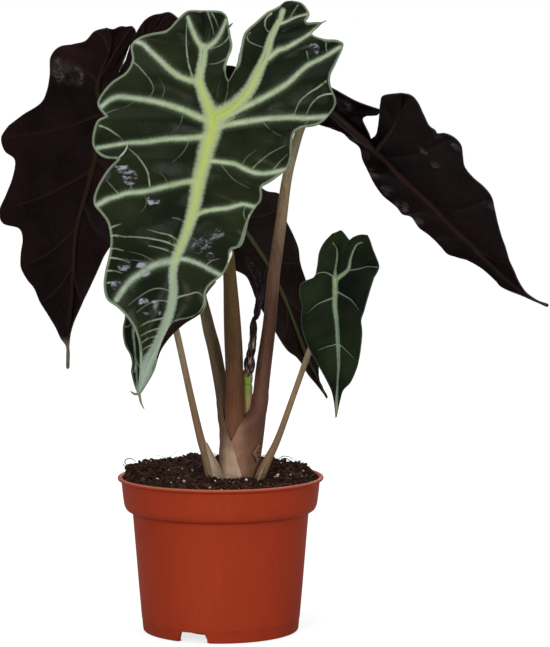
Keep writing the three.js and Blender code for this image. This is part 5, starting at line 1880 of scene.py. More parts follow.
@dataclass
class Sheaths:
    """The sheaths that wrap the crown, and the flaps at the feet of the two thin stalks.

    Fields: right and left, rows of y on the front view, where the sheath's free edge crosses,
    the middle x and half width of what it wraps there, and the depth and half depth of that,
    in millimetres. Each row lies higher than the last, from the crown to one stalk. Wide and
    slim, the rows of the two flaps, and rag, of the torn sheath; hair, of the fibre by it;
    round_to, how far a sheath goes round, in degrees; columns, flap_columns and steps, how
    finely they are cut; wall and flap_wall, in metres; belly, of a flap, in millimetres.
    """

    right: tuple[Row, ...] = (
        (493, 243, 238.5, 18.0, 1.5, 10.4), (479, 239.5, 238.8, 19.6, 1.5, 10.6),
        (467, 236, 239.6, 20.2, 1.5, 10.6), (456, 233, 240.2, 20.4, 1.5, 10.5),
        (443, 231.4, 240.4, 20.3, 1.5, 10.2), (436, 234.5, 242.8, 18.6, 1.6, 10.0),
        (427, 238.8, 247.4, 14.8, 1.4, 10.0), (418, 244.4, 253.2, 10.8, 1.3, 9.0),
        (409, 249.8, 258.6, 8.1, 2.6, 6.3), (398, 252.5, 260.2, 7.8, 3.4, 4.9),
        (386, 254.4, 261.5, 7.75, 4.1, 4.62), (374, 255.6, 262.8, 7.7, 4.8, 4.56),
    )
    left: tuple[Row, ...] = (
        (493, 246.5, 238.5, 19.2, 1.5, 11.2), (479, 242.5, 238.8, 20.6, 1.5, 11.4),
        (467, 239, 239.4, 20.6, 1.5, 11.4), (456, 236, 239.9, 20.6, 1.5, 11.2),
        (446, 232.8, 238.2, 18.4, 2, 10.6), (436, 229.4, 233.9, 13.9, 2.6, 9.6),
        (427, 226.8, 229.4, 9.8, 3.6, 7.2), (418, 224.4, 226.3, 8.0, 4.4, 5.0),
        (406, 222.9, 224.3, 7.5, 5.2, 4.42), (392, 221.4, 222.2, 7.1, 6, 4.15),
    )
    wide: tuple[Row, ...] = (
        (489, 214, 224, -12, -6), (478, 213, 222.6, -13, -6), (468, 211, 220, -13.2, -7),
        (458, 208.6, 214.8, -13, -9), (449, 206.2, 210.2, -13, -11),
        (442, 204.6, 206.4, -12.6, -12),
    )
    slim: tuple[Row, ...] = (
        (489, 259, 251.5, -11.5, -8), (481, 260, 254.6, -12, -9), (474, 261.6, 259.2, -12, -10.6),
        (468, 263.6, 263, -11.8, -11.6),
    )
    rag: tuple[Row, ...] = (
        (461.5, 257.4, 258.2, -7.4, -5.6), (459, 256, 258.4, -8, -5.8),
        (457.4, 255.8, 257.4, -8.4, -6.2), (455, 253.6, 258.4, -9, -6),
        (453, 252.6, 257.4, -9, -6.4), (451, 254.2, 259.6, -9.2, -5.8),
        (449, 255.6, 258.2, -8.6, -6), (447, 257, 260.8, -7.8, -5.4),
        (444.5, 258.6, 259.8, -6.6, -5.2),
    )
    hair: tuple[Row, ...] = (
        (259, 447, -6.5, 0.3), (261, 443, -6.6, 0.3), (262.6, 440, -6.8, 0.25),
        (261.4, 437.6, -7, 0.15),
    )
    round_to: float = 200
    columns: int = 34
    flap_columns: int = 12
    steps: int = 7
    wall: float = 0.4 * MM
    flap_wall: float = 0.7 * MM
    belly: float = 1.5

    def wrap(self, name: str, rows: tuple[Row, ...], right: bool,
             lift: float) -> bpy.types.Object:
        """Wraps one sheath round the crown, from its free edge to the back.

        Args:
            name: the piece's name.
            rows: the sheath's rows.
            right: whether the sheath goes round the right side.
            lift: how far it stands off what it wraps, in millimetres.

        Returns:
            The sheath with its thickness.
        """
        fine = refine(rows, self.steps)
        places = np.empty((len(fine), self.columns + 1, 3))
        for i, (y, edge_x, middle, half, depth, half_depth) in enumerate(fine):
            start = math.asin(max(-0.98, min(0.98, (edge_x - middle) / half)))
            end = math.radians(self.round_to) * (1 if right else -1)
            sink = 1.1 * max(0.0, i / len(fine) * 4 - 3) ** 2
            for k in range(self.columns + 1):
                t = k / self.columns
                angle = start + (end - start) * t
                curl = lift + 0.4 * math.exp(-t * 18) + 0.12 * math.sin(y * 0.4 + t * 9) - sink
                x = middle + (half + curl / 0.58) * math.sin(angle)
                behind = depth - (half_depth + curl) * math.cos(angle)
                places[i, k] = VIEW.place(np.array([x, y]), np.array(behind * MM))
        piece = sheet(name, places, flip=not right)
        apply(piece, "SOLIDIFY", thickness=self.wall, offset=0)
        smooth(piece, 60)
        return piece

    def flap(self, name: str, rows: Sequence[Row]) -> bpy.types.Object:
        """Makes a flap that opens from the side of a thin stalk.

        Args:
            name: the piece's name.
            rows: y on the front view, the stalk's middle x, the flap's outer x, the depth of
                the stalk and of the flap's edge, in millimetres.

        Returns:
            The flap with its thickness.
        """
        fine = refine(rows, self.steps)
        places = np.empty((len(fine), self.flap_columns + 1, 3))
        for i, (y, inner, outer, near, far) in enumerate(fine):
            for k in range(self.flap_columns + 1):
                t = k / self.flap_columns
                belly = math.sin(math.pi * t) * self.belly
                spot = np.array([inner + (outer - inner) * t, y])
                places[i, k] = VIEW.place(spot, np.array((near + (far - near) * t - belly) * MM))
        piece = sheet(name, places, flip=rows[0][2] < rows[0][1])
        apply(piece, "SOLIDIFY", thickness=self.flap_wall, offset=0)
        smooth(piece, 60)
        return piece

    def build(self) -> None:
        """Builds and dresses the sheaths."""
        left = Papery("sheath_left_skin", shades(
            (0.085, 160, 134, 108), (0.1, 142, 112, 86), (0.109, 126, 98, 76),
            (0.119, 104, 82, 62), (0.129, 102, 83, 62), (0.149, 116, 97, 74),
        ), (0.0, 0.005), tone(204, 176, 152))
        right = Papery("sheath_right_skin", shades(
            (0.085, 124, 93, 66), (0.1, 126, 92, 70), (0.109, 122, 86, 66), (0.117, 108, 74, 58),
            (0.125, 103, 66, 55), (0.149, 98, 66, 52),
        ), (0.0175, 0.0095), tone(158, 118, 96), 0.124)
        pale = Papery("flap_skin", shades(
            (0.085, 172, 150, 130), (0.1, 186, 164, 142), (0.12, 166, 144, 116),
        ))
        dress(self.wrap("sheath_right", self.right, True, 0.1), right.material(), slot="stalk")
        dress(self.wrap("sheath_left", self.left, False, 0.2), left.material(), slot="stalk")
        dress(self.flap("flap_f", self.wide), pale.material(), slot="stalk_pale")
        dress(self.flap("flap_e", self.slim), pale.material(), slot="stalk_pale")
        torn = self.flap("torn_sheath", self.rag)
        skin = Papery("torn_skin", shades(
            (0.085, 104, 70, 54), (0.1, 134, 98, 78), (0.12, 120, 82, 64),
        ))
        dress(torn, skin.material(), slot="stalk")
        curl = traced_tube("sheath_hair", self.hair, 6, 8)
        dress(curl, Grit("hair", tone(70, 44, 32), tone(40, 26, 20)).material(), slot="stalk")


@dataclass
class YoungShoot:
    """The green spear between the stalks, and the withered leaf that hangs out of its top."""

    spear: tuple[Row, ...] = (
        (244, 450, 6, 2.6), (245.2, 430, 6, 3.0), (246, 414, 5.6, 3.3),
        (246.4, 400, 4.4, 3.3), (246.6, 390, 2.8, 3.3), (246.7, 385, 2, 3.2),
        (246.7, 383.2, 1.8, 2.8), (246.8, 381.4, 1.5, 3.25), (247, 377, 1, 3.3),
        (247.4, 373, 0.6, 3.0), (247.8, 369.5, 0.2, 2.4),
    )
    withered: tuple[Row, ...] = (
        (248, 374.5, 0.2, 1.9), (248.2, 371, -0.9, 2.9), (248.4, 364, -2.4, 3.3),
        (249.8, 355, -3.8, 2.9),
        (251.6, 346, -5, 2.7), (252.6, 338, -5, 2.4), (253, 329, -5, 2.5), (253.4, 322.5, -5, 2.1),
        (254, 318.6, -4.5, 1.3), (256.2, 316, -4.5, 1.7), (257.4, 312, -4, 2.4),
        (258.4, 305, -4, 2.3), (259.4, 298, -4, 2.4), (260.4, 290, -3.6, 2.5),
        (260, 283, -3, 2.8), (257.4, 276, -2.4, 2.6), (253.6, 269.5, -1.6, 2.2),
        (249.6, 263, -1, 1.6), (246, 256, 0, 0.6),
    )

    def build(self) -> None:
        """Builds and dresses both."""
        spear = traced_tube("green_spear", self.spear, 8, 24, ripple=0.02)
        smooth(spear, 50)
        dress(spear, BudSkin().material(), slot="stalk")
        shoot = traced_tube("withered_leaf", self.withered, 7, 22, flatten=0.8, ripple=0.14,
                            turn=6.0)
        points, normals = points_of(shoot), normals_of(shoot)
        creases = np.array([noise.noise(Vector((x * 700, y * 700, z * 260))) for x, y, z in points])
        move_points(shoot, points + normals * (creases * 0.5 * MM)[:, None])
        smooth(shoot)
        dress(shoot, Shrivelled().material(), slot="withered", stands_for=("withered_shoot",))
        scraps = (
            ((246.5, 369, -7, 0.9), (245.6, 362, -7.6, 1.1), (246.4, 355, -7.4, 0.5)),
            ((252.6, 372, -6, 0.8), (254.2, 364, -6.4, 1.1), (253.4, 356, -6, 0.5)),
            ((255, 334, -6, 0.7), (256.4, 328, -6.2, 1.0), (255.2, 321, -5.6, 0.4)),
            ((246.4, 376, -2.6, 0.5), (249, 373, -3.4, 0.9), (251.4, 368, -3.4, 0.3)),
        )
        pieces = [traced_tube("scrap", rows, 8, 10, flatten=0.5, turn=2) for rows in scraps]
        rags = join(pieces, "withered_scraps")
        smooth(rags)
        dress(rags, Shrivelled("shrivelled_scraps").material(), slot="withered")


# Soil

@dataclass
class SoilBed:
    """The peat in the pot, with crumbs, fibres and white grains on it.

    Fields: front, the soil's height at the front rim; back_rise, how much higher it is at the
    back; radius of its top; cuts, how finely its top is cut; wall, radius and height of its
    side from the top down; seed, of its roughness; clods, the x, y, width and height of each
    larger lump; sweep, the first and last depth and the step in which a spot of the front view
    is looked for; crown, the middle and half sizes of what the stalks take up; curls, the rows
    of each curled fibre; pearls, x and y on the front view and size in millimetres of the white
    grains that lie in plain sight.
    """

    front: float = 0.0872
    back_rise: float = 0.0085
    radius: float = 0.0559
    cuts: int = 190
    wall: tuple[Spot, ...] = ((0.0548, 0.0758), (0.0528, 0.0722), (0.0498, 0.0712),
                              (0.0445, 0.0080), (0.0215, 0.0080), (0.0203, 0.0018))
    seed: int = 7
    clods: tuple[tuple[float, float, float, float], ...] = (
        (-0.0515, 0.006, 0.0062, 0.0058), (-0.045, 0.021, 0.0085, 0.0030),
        (-0.033, 0.037, 0.0075, 0.0022), (-0.0165, 0.043, 0.0036, 0.0026),
        (-0.047, -0.008, 0.007, 0.0022), (0.046, 0.018, 0.008, 0.0014),
    )
    sweep: tuple[float, float, float] = (-0.055, 0.05, 0.0004)
    crown: tuple[float, float, float, float] = (0.0115, 0.002, 0.0125, 0.010)
    curls: tuple[tuple[Row, ...], ...] = (
        (
            (131.5, 468, 1, 0.28), (127, 465, 1, 0.3), (124.6, 461.6, 1, 0.28),
            (126.4, 458.6, 1, 0.28), (131, 458, 1, 0.24), (136, 461.4, 1, 0.14),
        ),
        (
            (279, 464, 14, 0.24), (281, 459.4, 14, 0.26), (285, 458, 14, 0.26),
            (290, 460.6, 14, 0.24), (294, 465, 12, 0.2),
        ),
        (
            (276, 462, 10, 0.2), (282, 456.4, 10, 0.24), (288.6, 456.6, 10, 0.2),
            (292.6, 459, 10, 0.14),
        ),
        (
            (134, 466, -2, 0.24), (129, 467, -4, 0.3), (124.4, 465.4, -4, 0.24),
            (122.4, 462.8, -4, 0.14),
        ),
    )
    pearls: tuple[Row, ...] = (
        (183.8, 481.6, 1.5), (193, 475.4, 1.0), (178, 478.2, 0.8), (187.6, 463, 0.9),
        (278, 475.6, 1.7), (274.6, 477.4, 1.1), (246, 480, 1.2), (197, 488, 0.8),
        (262, 478.6, 1.0), (303, 471, 0.8), (214.6, 481, 0.9), (233.4, 482.4, 0.9),
    )

    def on(self, x: float, y: float) -> tuple[float, float, float]:
        """Gives the place on the soil behind a spot of the front view.

        Args:
            x: the spot's x on the front view.
            y: the spot's y.

        Returns:
            The place in metres.
        """
        depth, last, step = self.sweep
        while depth < last:
            place = VIEW.place(np.array([x, y]), np.array(depth))
            if place[2] < self.height(float(place[0]), depth, 0.5):
                break
            depth += step
        return tuple(float(c) for c in place)

    def height(self, x: float, y: float, crumbs: float = 1.0) -> float:
        """Gives the height of the soil above the ground at a place.

        Args:
            x: how far right of the axis, in metres.
            y: how far behind the axis, in metres.
            crumbs: how much of the fine roughness counts.

        Returns:
            The height in metres.
        """
        reach = min(1.0, math.hypot(x, y) / self.radius)
        back = float(ease(np.array(y), -0.03, 0.036))
        rise = self.back_rise * back * (1 - 0.4 * reach ** 4) - 0.0016 * (1 - back) * reach ** 8
        lumps = noise.fractal(Vector((x * 75, y * 75, 0.3)), 1.0, 2.0, 3) * 0.0022
        rough = noise.fractal(Vector((x * 330, y * 330, 2.1)), 0.8, 2.0, 4) * 0.0013 * crumbs
        collar = 0.0016 * math.exp(-((math.hypot(x - 0.008, y + 0.004) - 0.016) / 0.007) ** 2)
        inside = 1 - reach ** 10
        heap = sum(high * math.exp(-((x - cx) ** 2 + (y - cy) ** 2) / wide ** 2)
                   for cx, cy, wide, high in self.clods)
        return self.front + rise + (lumps + rough) * (0.35 + 0.65 * inside) + collar + heap

    def bed(self) -> bpy.types.Object:
        """Shapes the bed from a grid that is drawn into a round.

        Returns:
            The bed, closed.
        """
        side = np.linspace(-1, 1, self.cuts + 1)
        u, v = np.meshgrid(side, side)
        x = u * np.sqrt(1 - v * v / 2) * self.radius
        y = v * np.sqrt(1 - u * u / 2) * self.radius
        z = np.array([[self.height(px, py) for px, py in zip(rx, ry)] for rx, ry in zip(x, y)])
        piece = sheet("soil_bed", np.stack([x, y, z], axis=-1))
        with editing(piece, "DESELECT"):
            bpy.ops.mesh.select_non_manifold()
            at_radius, at_height = self.radius, self.front
            for radius, height in self.wall:
                bpy.ops.mesh.extrude_region_move()
                scale = radius / at_radius
                bpy.ops.transform.resize(value=(scale, scale, 1), center_override=(0, 0, 0))
                flat = 0.02 if at_height == self.front else 1
                bpy.ops.transform.resize(value=(1, 1, flat), center_override=(0, 0, at_height))
                bpy.ops.transform.translate(value=(0, 0, height - at_height))
                at_radius, at_height = radius, height
            close_shell()
        smooth(piece, 70)
        return piece

    def bit(self, name: str, size: tuple[float, float, float], jag: float, seed: int,
            level: int = 2) -> tuple[np.ndarray, np.ndarray]:
        """Models one loose bit.

        Args:
            name: the bit's name while it is modelled.
            size: its half sizes, in metres.
            jag: how far its points are pushed about.
            seed: which of many shapes.
            level: how finely the ball that it starts from is cut.

        Returns:
            Its points and its triangles.
        """
        put_down()
        bpy.ops.mesh.primitive_ico_sphere_add(subdivisions=level, radius=1)
        piece = bpy.context.object
        piece.name = name
        with editing(piece):
            bpy.ops.transform.vertex_random(offset=jag, seed=seed, uniform=0.4)
            bpy.ops.transform.resize(value=size, center_override=(0, 0, 0))
        points = points_of(piece)
        faces = np.array([polygon.vertices[:] for polygon in piece.data.polygons])
        bpy.data.objects.remove(piece)
        return points, faces

    def strand(self, rng: random.Random, length: float, radius: float,
               curl: float) -> tuple[np.ndarray, np.ndarray]:
        """Models one fibre as a thin curled tube of three sides.

        Args:
            rng: the source of its shape.
            length: its length, in metres.
            radius: its radius, in metres.
            curl: how much it turns on the way.

        Returns:
            Its points and its triangles.
        """
        steps, sides = 9, 3
        at, heading, rise = np.zeros(3), rng.uniform(0, math.tau), rng.uniform(-0.15, 0.5)
        turn, dip = rng.uniform(-curl, curl), rng.uniform(-0.25, 0.02)
        points, faces = [], []
        for i in range(steps + 1):
            width = radius * (1 - 0.7 * i / steps)
            for k in range(sides):
                angle = math.tau * k / sides
                across = np.array([-math.sin(heading), math.cos(heading), 0])
                points.append(at + across * width * math.cos(angle)
                              + np.array([0, 0, width * math.sin(angle)]))
            step = np.array([math.cos(heading), math.sin(heading), rise])
            at = at + step / np.linalg.norm(step) * length / steps
            heading += turn
            rise += dip
            if i < steps:
                for k in range(sides):
                    a, b = i * sides + k, i * sides + (k + 1) % sides
                    faces += [(a, b, b + sides), (a, b + sides, a + sides)]
        end = steps * sides
        faces += [(0, 2, 1), (end, end + 1, end + 2)]
        return np.array(points), np.array(faces)

    def scatter(self, name: str, bits: Sequence[tuple[np.ndarray, np.ndarray]], count: int,
                rng: random.Random, size: Spot, sink: float, lay: float,
                ring: Spot = (0.0, 1.0)) -> bpy.types.Object:
        """Strews copies of modelled bits over the soil as one piece.

        Args:
            name: the piece's name.
            bits: the modelled bits.
            count: how many copies.
            rng: the source of their places.
            size: their smallest and largest scale.
            sink: how deep each lies in the soil, in metres.
            lay: how far they are tilted, in radians.
            ring: the inner and outer reach of the places, against the soil's radius.

        Returns:
            The piece.
        """
        points, faces, first = [], [], 0
        middle_x, middle_y, half_x, half_y = self.crown
        while count > 0:
            reach = math.sqrt(rng.uniform(ring[0] ** 2, ring[1] ** 2))
            bearing = rng.uniform(0, math.tau)
            x = reach * math.cos(bearing) * (self.radius - 0.0012)
            y = reach * math.sin(bearing) * (self.radius - 0.0012)
            if math.hypot((x - middle_x) / half_x, (y - middle_y) / half_y) < 0.9:
                continue
            shape, triangles = bits[rng.randrange(len(bits))]
            turn = Euler((rng.uniform(-lay, lay), rng.uniform(-lay, lay),
                          rng.uniform(0, math.tau))).to_matrix()
            placed = shape @ np.array(turn).T * rng.uniform(*size)
            points.append(placed + (x, y, self.height(x, y) - sink))
            faces.append(triangles + first)
            first += len(shape)
            count -= 1
        return self.gather(name, [(np.vstack(points), np.vstack(faces))])

    def gather(self, name: str, bits: Sequence[tuple[np.ndarray, np.ndarray]]) -> bpy.types.Object:
        """Makes one piece of bits that are in place.

        Args:
            name: the piece's name.
            bits: points and triangles of each bit.

        Returns:
            The one piece.
        """
        points, faces, first = [], [], 0
        for shape, triangles in bits:
            points.append(shape)
            faces.append(triangles + first)
            first += len(shape)
        mesh = bpy.data.meshes.new(name)
        mesh.from_pydata(np.vstack(points).tolist(), [], np.vstack(faces).tolist())
        piece = bpy.data.objects.new(name, mesh)
        bpy.context.collection.objects.link(piece)
        weld(piece, 1e-9, outward=True)
        return piece

    def lay(self, piece: bpy.types.Object, skin: Peat | Grit) -> None:
        """Dresses a piece that lies on the soil."""
        dress(piece, skin.material(), slot="soil")

    def build(self) -> None:
        """Builds and dresses the soil and what lies on it."""
        rng = random.Random(self.seed)
        dress(self.bed(), Peat().material(), slot="soil", stands_for=("soil",))
        crumbs = [self.bit("crumb", (0.0011, 0.0009, 0.0007), 0.34, k, 1) for k in range(7)]
        crumbs += [self.bit("flake", (0.0021, 0.0009, 0.0004), 0.3, k, 1) for k in range(7, 12)]
        bulk = self.scatter("peat_crumbs", crumbs, 2600, rng, (0.45, 1.3), 0.0, 0.9)
        lump = [self.bit("lump", (0.0026, 0.0021, 0.0017), 0.3, k) for k in range(31, 37)]
        lumps = self.scatter("peat_lumps", lump, 150, rng, (0.5, 1.15), 0.0004, 0.9)
        self.lay(lumps, Peat("peat_lump"))
        self.lay(bulk, Peat("peat_crumb"))
        bark = [self.bit("bark", (0.0030, 0.0012, 0.0007), 0.3, k) for k in range(11, 15)]
        chips = self.scatter("bark_chips", bark, 90, rng, (0.5, 1.15), -0.0004, 0.7, (0.35, 0.97))
        self.lay(chips, Grit("bark", tone(92, 60, 44), tone(38, 24, 18)))
        grain = [self.bit("grain", (0.0010, 0.0009, 0.0008), 0.26, k) for k in range(21, 25)]
        white = self.scatter("perlite", grain, 64, rng, (0.35, 0.95), -0.0003, 3.0, (0.3, 0.96))
        self.lay(white, Grit("perlite_grain", tone(222, 212, 200), tone(160, 146, 132)))
        named = []
        for x, y, size in self.pearls:
            points, faces = grain[len(named) % 4]
            named.append((points * size * 0.85 + self.on(x, y), faces))
        pearl = Grit("pearl", tone(240, 228, 212), tone(196, 178, 158))
        self.lay(self.gather("pearls", named), pearl)
        curls = [traced_tube("curl", rows, 6, 6) for rows in self.curls]
        curl_skin = Grit("curl_skin", tone(62, 44, 34), tone(26, 18, 14))
        self.lay(join(curls, "curled_fibres"), curl_skin)
        roots = [self.strand(rng, rng.uniform(0.008, 0.02), 0.00022, 0.5) for _ in range(14)]
        fibres = self.scatter("peat_fibres", roots, 260, rng, (0.6, 1.2), -0.0008, 0.4,
                              (0.0, 0.84))
        self.lay(fibres, Grit("fibre", tone(84, 56, 42), tone(28, 18, 14)))
        reddish = [self.strand(rng, rng.uniform(0.006, 0.014), 0.00018, 0.4) for _ in range(8)]
        pale = self.scatter("pale_fibres", reddish, 110, rng, (0.6, 1.1), -0.001, 0.4,
                            (0.0, 0.86))
        self.lay(pale, Grit("pale_fibre", tone(146, 98, 74), tone(92, 58, 42)))


# Pot

@dataclass
class NurseryPot:
    """The moulded pot: thin wall, rolled lip, raised band, and a foot with drainage notches.

    Fields: outline, radius and height of the turned shape in millimetres, from the middle of
    its underside out, up, over the lip, down inside and back to the middle; sides; bearings,
    of the notches and drain holes; and the sizes of both.
    """

    outline: tuple[Spot, ...] = (
        (2.0, 0.0), (21.6, 0.0), (22.1, 0.3), (23.3, 5.9), (24.0, 6.2), (43.2, 6.2),
        (43.6, 5.8), (43.2, 0.3), (43.5, 0.0), (44.4, 0.0), (44.9, 0.15), (45.25, 0.5),
        (45.45, 1.2), (45.95, 7.0), (46.15, 7.35), (46.2, 7.7), (47.9, 27.0), (49.6, 48.0),
        (51.0, 64.6), (51.35, 68.6), (51.6, 69.4), (52.1, 69.8), (53.0, 69.95), (54.0, 70.3),
        (54.9, 71.0), (55.6, 72.0), (56.1, 73.3), (56.45, 74.8), (56.7, 76.6), (57.2, 80.6),
        (57.85, 86.8), (58.0, 87.4), (58.4, 87.8), (59.2, 88.0), (59.75, 88.3),
        (60.0, 88.8), (60.0, 89.3), (59.75, 89.75), (59.3, 90.0), (58.5, 90.0), (57.8, 89.8),
        (57.3, 89.3), (57.0, 88.5), (56.8, 87.4), (55.3, 75.2), (54.9, 73.8), (54.1, 72.6),
        (53.0, 71.7), (51.6, 71.2), (50.5, 70.7), (50.1, 69.8), (44.9, 8.4), (44.2, 7.7),
        (22.3, 7.7), (21.2, 7.0), (20.5, 2.0), (19.8, 1.5), (2.0, 1.5),
    )
    sides: int = 160
    bearings: tuple[float, ...] = (-111, 9, 129)
    notch_low: float = 9.7
    notch_high: float = 7.2
    notch_height: float = 6.0
    drain: float = 4.0
    drain_ring: float = 34.0

    def turned(self) -> bpy.types.Object:
        """Turns the pot, one ring extruded from the last.

        Returns:
            The pot without its notches and holes.
        """
        put_down()
        radius, height = self.outline[0]
        bpy.ops.mesh.primitive_circle_add(vertices=self.sides, radius=radius * MM,
                                          location=(0, 0, height * MM))
        piece = bpy.context.object
        piece.name = "nursery_pot"
        bpy.ops.object.transform_apply(location=True)
        with editing(piece):
            for next_radius, next_height in self.outline[1:]:
                bpy.ops.mesh.extrude_region_move()
                scale = next_radius / radius
                bpy.ops.transform.resize(value=(scale, scale, 1), center_override=(0, 0, 0))
                bpy.ops.transform.translate(value=(0, 0, (next_height - height) * MM))
                radius, height = next_radius, next_height
            bpy.ops.mesh.edge_face_add()
            close_shell()
        return piece

    def cutter(self, bearing: float) -> bpy.types.Object:
        """Shapes the block that cuts one drainage notch.

        Args:
            bearing: where round the pot it stands, in degrees.

        Returns:
            The block.
        """
        put_down()
        bpy.ops.mesh.primitive_cube_add(size=1, location=(0.047, 0, 0))
        block = bpy.context.object
        high = self.notch_height * MM
        block.scale = (9 * MM, 2 * self.notch_low * MM, 2 * high)
        bpy.ops.object.transform_apply(location=True, scale=True)
        points = points_of(block)
        top = points[:, 2] > 0
        points[top, 1] *= self.notch_high / self.notch_low
        points[~top, 1] *= 1.28
        move_points(block, points)
        apply(block, "BEVEL", width=1.2 * MM, segments=4, limit_method="ANGLE",
              angle_limit=math.radians(50))
        return self.turned_to(block, bearing)

    def drain_cutter(self, bearing: float) -> bpy.types.Object:
        """Shapes the peg that cuts one drain hole.

        Args:
            bearing: where round the pot it stands, in degrees.

        Returns:
            The peg.
        """
        put_down()
        bpy.ops.mesh.primitive_cylinder_add(vertices=32, radius=self.drain * MM, depth=6 * MM,
                                            location=(self.drain_ring * MM, 0, 7 * MM))
        peg = bpy.context.object
        bpy.ops.object.transform_apply(location=True)
        return self.turned_to(peg, bearing)

    def turned_to(self, piece: bpy.types.Object, bearing: float) -> bpy.types.Object:
        """Turns a cutter round the pot's axis to its bearing.

        Args:
            piece: the cutter.
            bearing: the bearing in degrees.

        Returns:
            The cutter in its place.
        """
        piece.rotation_euler = (0, 0, math.radians(bearing))
        pick_up(piece)
        bpy.ops.object.transform_apply(rotation=True)
        return piece

    def build(self) -> None:
        """Builds and dresses the pot."""
        pot = self.turned()
        cutters = [self.cutter(b) for b in self.bearings]
        cutters += [self.drain_cutter(b) for b in self.bearings]
        for cutter in cutters:
            apply(pot, "BOOLEAN", operation="DIFFERENCE", object=cutter, solver="EXACT")
            bpy.data.objects.remove(cutter)
        smooth(pot, 32)
        dress(pot, PotPlastic().material(), slot="pot", stands_for=("pot",))


# Fine points of the leaves

@dataclass
class LeafTrims:
    """The drip tips, hairs and rolled edges that stand out from the blades.

    Fields: the turned edges of the front blade, rows of x and y on the front view, then the
    lift and the radius in millimetres: its pale lower hem, the fold at its left, the flap at
    its right, a cream tube under that which is a painted highlight, and the dark curl below.
    """

    hem: tuple[Row, ...] = (
        (205.6, 298, 0, 0.3), (205.2, 304, 0, 0.5), (200.5, 312, 0, 0.55), (189, 318, 0, 0.55),
        (173, 321.5, 0, 0.5), (168, 329, 0, 0.45), (162, 341, 0, 0.4), (156.5, 356, 0, 0.25),
    )
    fold: tuple[Row, ...] = (
        (117, 159.2, 1.4, 0.35), (121, 156.5, 1.6, 0.55), (125.6, 151.5, 1.6, 0.6),
        (127.8, 147, 1.3, 0.5), (128.6, 143, 0.6, 0.25),
    )
    flap: tuple[Row, ...] = (
        (249.4, 214, 0.3, 0.25), (247.2, 222, 0.5, 0.5), (245, 230, 0.7, 0.8),
        (242.8, 236.5, 0.8, 1.2), (240.6, 241.5, 0.8, 1.5), (239, 245, 0.6, 1.1),
        (238.2, 247, 0.3, 0.4),
    )
    # A cream tube on the front blade's edge that stands for a highlight: painted highlight.
    painted_highlight: tuple[Row, ...] = (
        (230.6, 248.4, 0.5, 0.25), (231, 251.4, 0.7, 0.8), (230.6, 255, 0.7, 0.9),
        (229.4, 258.6, 0.5, 0.5), (228.2, 262, 0.2, 0.3),
    )
    curl: tuple[Row, ...] = (
        (216, 280.8, 0.2, 0.3), (212.6, 284, 0.5, 0.7), (209, 288, 0.6, 0.8),
        (206.4, 292.4, 0.4, 0.6), (205.6, 296, 0.1, 0.3),
    )

    def on_blade(self, leaf: LeafBlade, rows: Sequence[Row]) -> list[Row]:
        """Lays rows of x, y, lift and radius on a blade, lifted towards the front."""
        return [(x, y, float(leaf.lie(np.array([x, y]))) - lift, radius)
                for x, y, lift, radius in rows]

    def build(self) -> None:
        """Builds and dresses them."""
        tips = {
            "drip_tip_a": (LEAF_A, ((139, 392, 0, 0.9), (140, 397, 0, 0.75), (141, 402, 0, 0.6),
                                    (144.4, 409, 0, 0.2))),
            "curl_tip_a": (LEAF_A, ((139.5, 392, 0.4, 0.8), (136, 393.5, 1, 0.75),
                                    (133, 392.5, 1.6, 0.6), (130.4, 390.4, 2, 0.2))),
            "hair_a": (LEAF_A, ((317, 27.5, 0, 0.6), (321, 24, 0.5, 0.45), (326, 21.4, 1, 0.2))),
            "spike_a": (LEAF_A, ((229, 28, 0, 0.7), (231.4, 25.6, 0.4, 0.5), (233, 24, 0.6, 0.2))),
        }
        tips["drip_tip_e"] = (LEAF_E, ((336.6, 405, 0.3, 0.7), (336.4, 410, 0.3, 0.7),
                                       (336, 414, 0.3, 0.5), (335.6, 417.5, 0.3, 0.2)))
        for edge in ("hem", "fold", "flap", "painted_highlight", "curl"):
            tips[f"{edge}_a"] = (LEAF_A, getattr(self, edge))
        olive = Margin("tip_skin", tone(122, 132, 86), tone(78, 84, 52)).material()
        pale = Margin("hem_skin", tone(176, 188, 160), tone(140, 150, 122)).material()
        silver = Margin("flap_skin", tone(166, 180, 158), tone(122, 140, 118)).material()
        # cream: the colour of the painted highlight tube.
        cream = Margin("worn_skin", tone(244, 244, 224), tone(220, 220, 196)).material()
        dark = Margin("curl_skin", tone(62, 50, 44), tone(34, 26, 24)).material()
        skins = {"hem_a": pale, "fold_a": pale, "flap_a": silver, "painted_highlight_a": cream,
                 "curl_a": dark}
        for name, (leaf, rows) in tips.items():
            piece = traced_tube(name, self.on_blade(leaf, rows), 6, 12)
            smooth(piece, 60)
            dress(piece, skins.get(name, olive), slot="leaf_upper_front")


# Studio

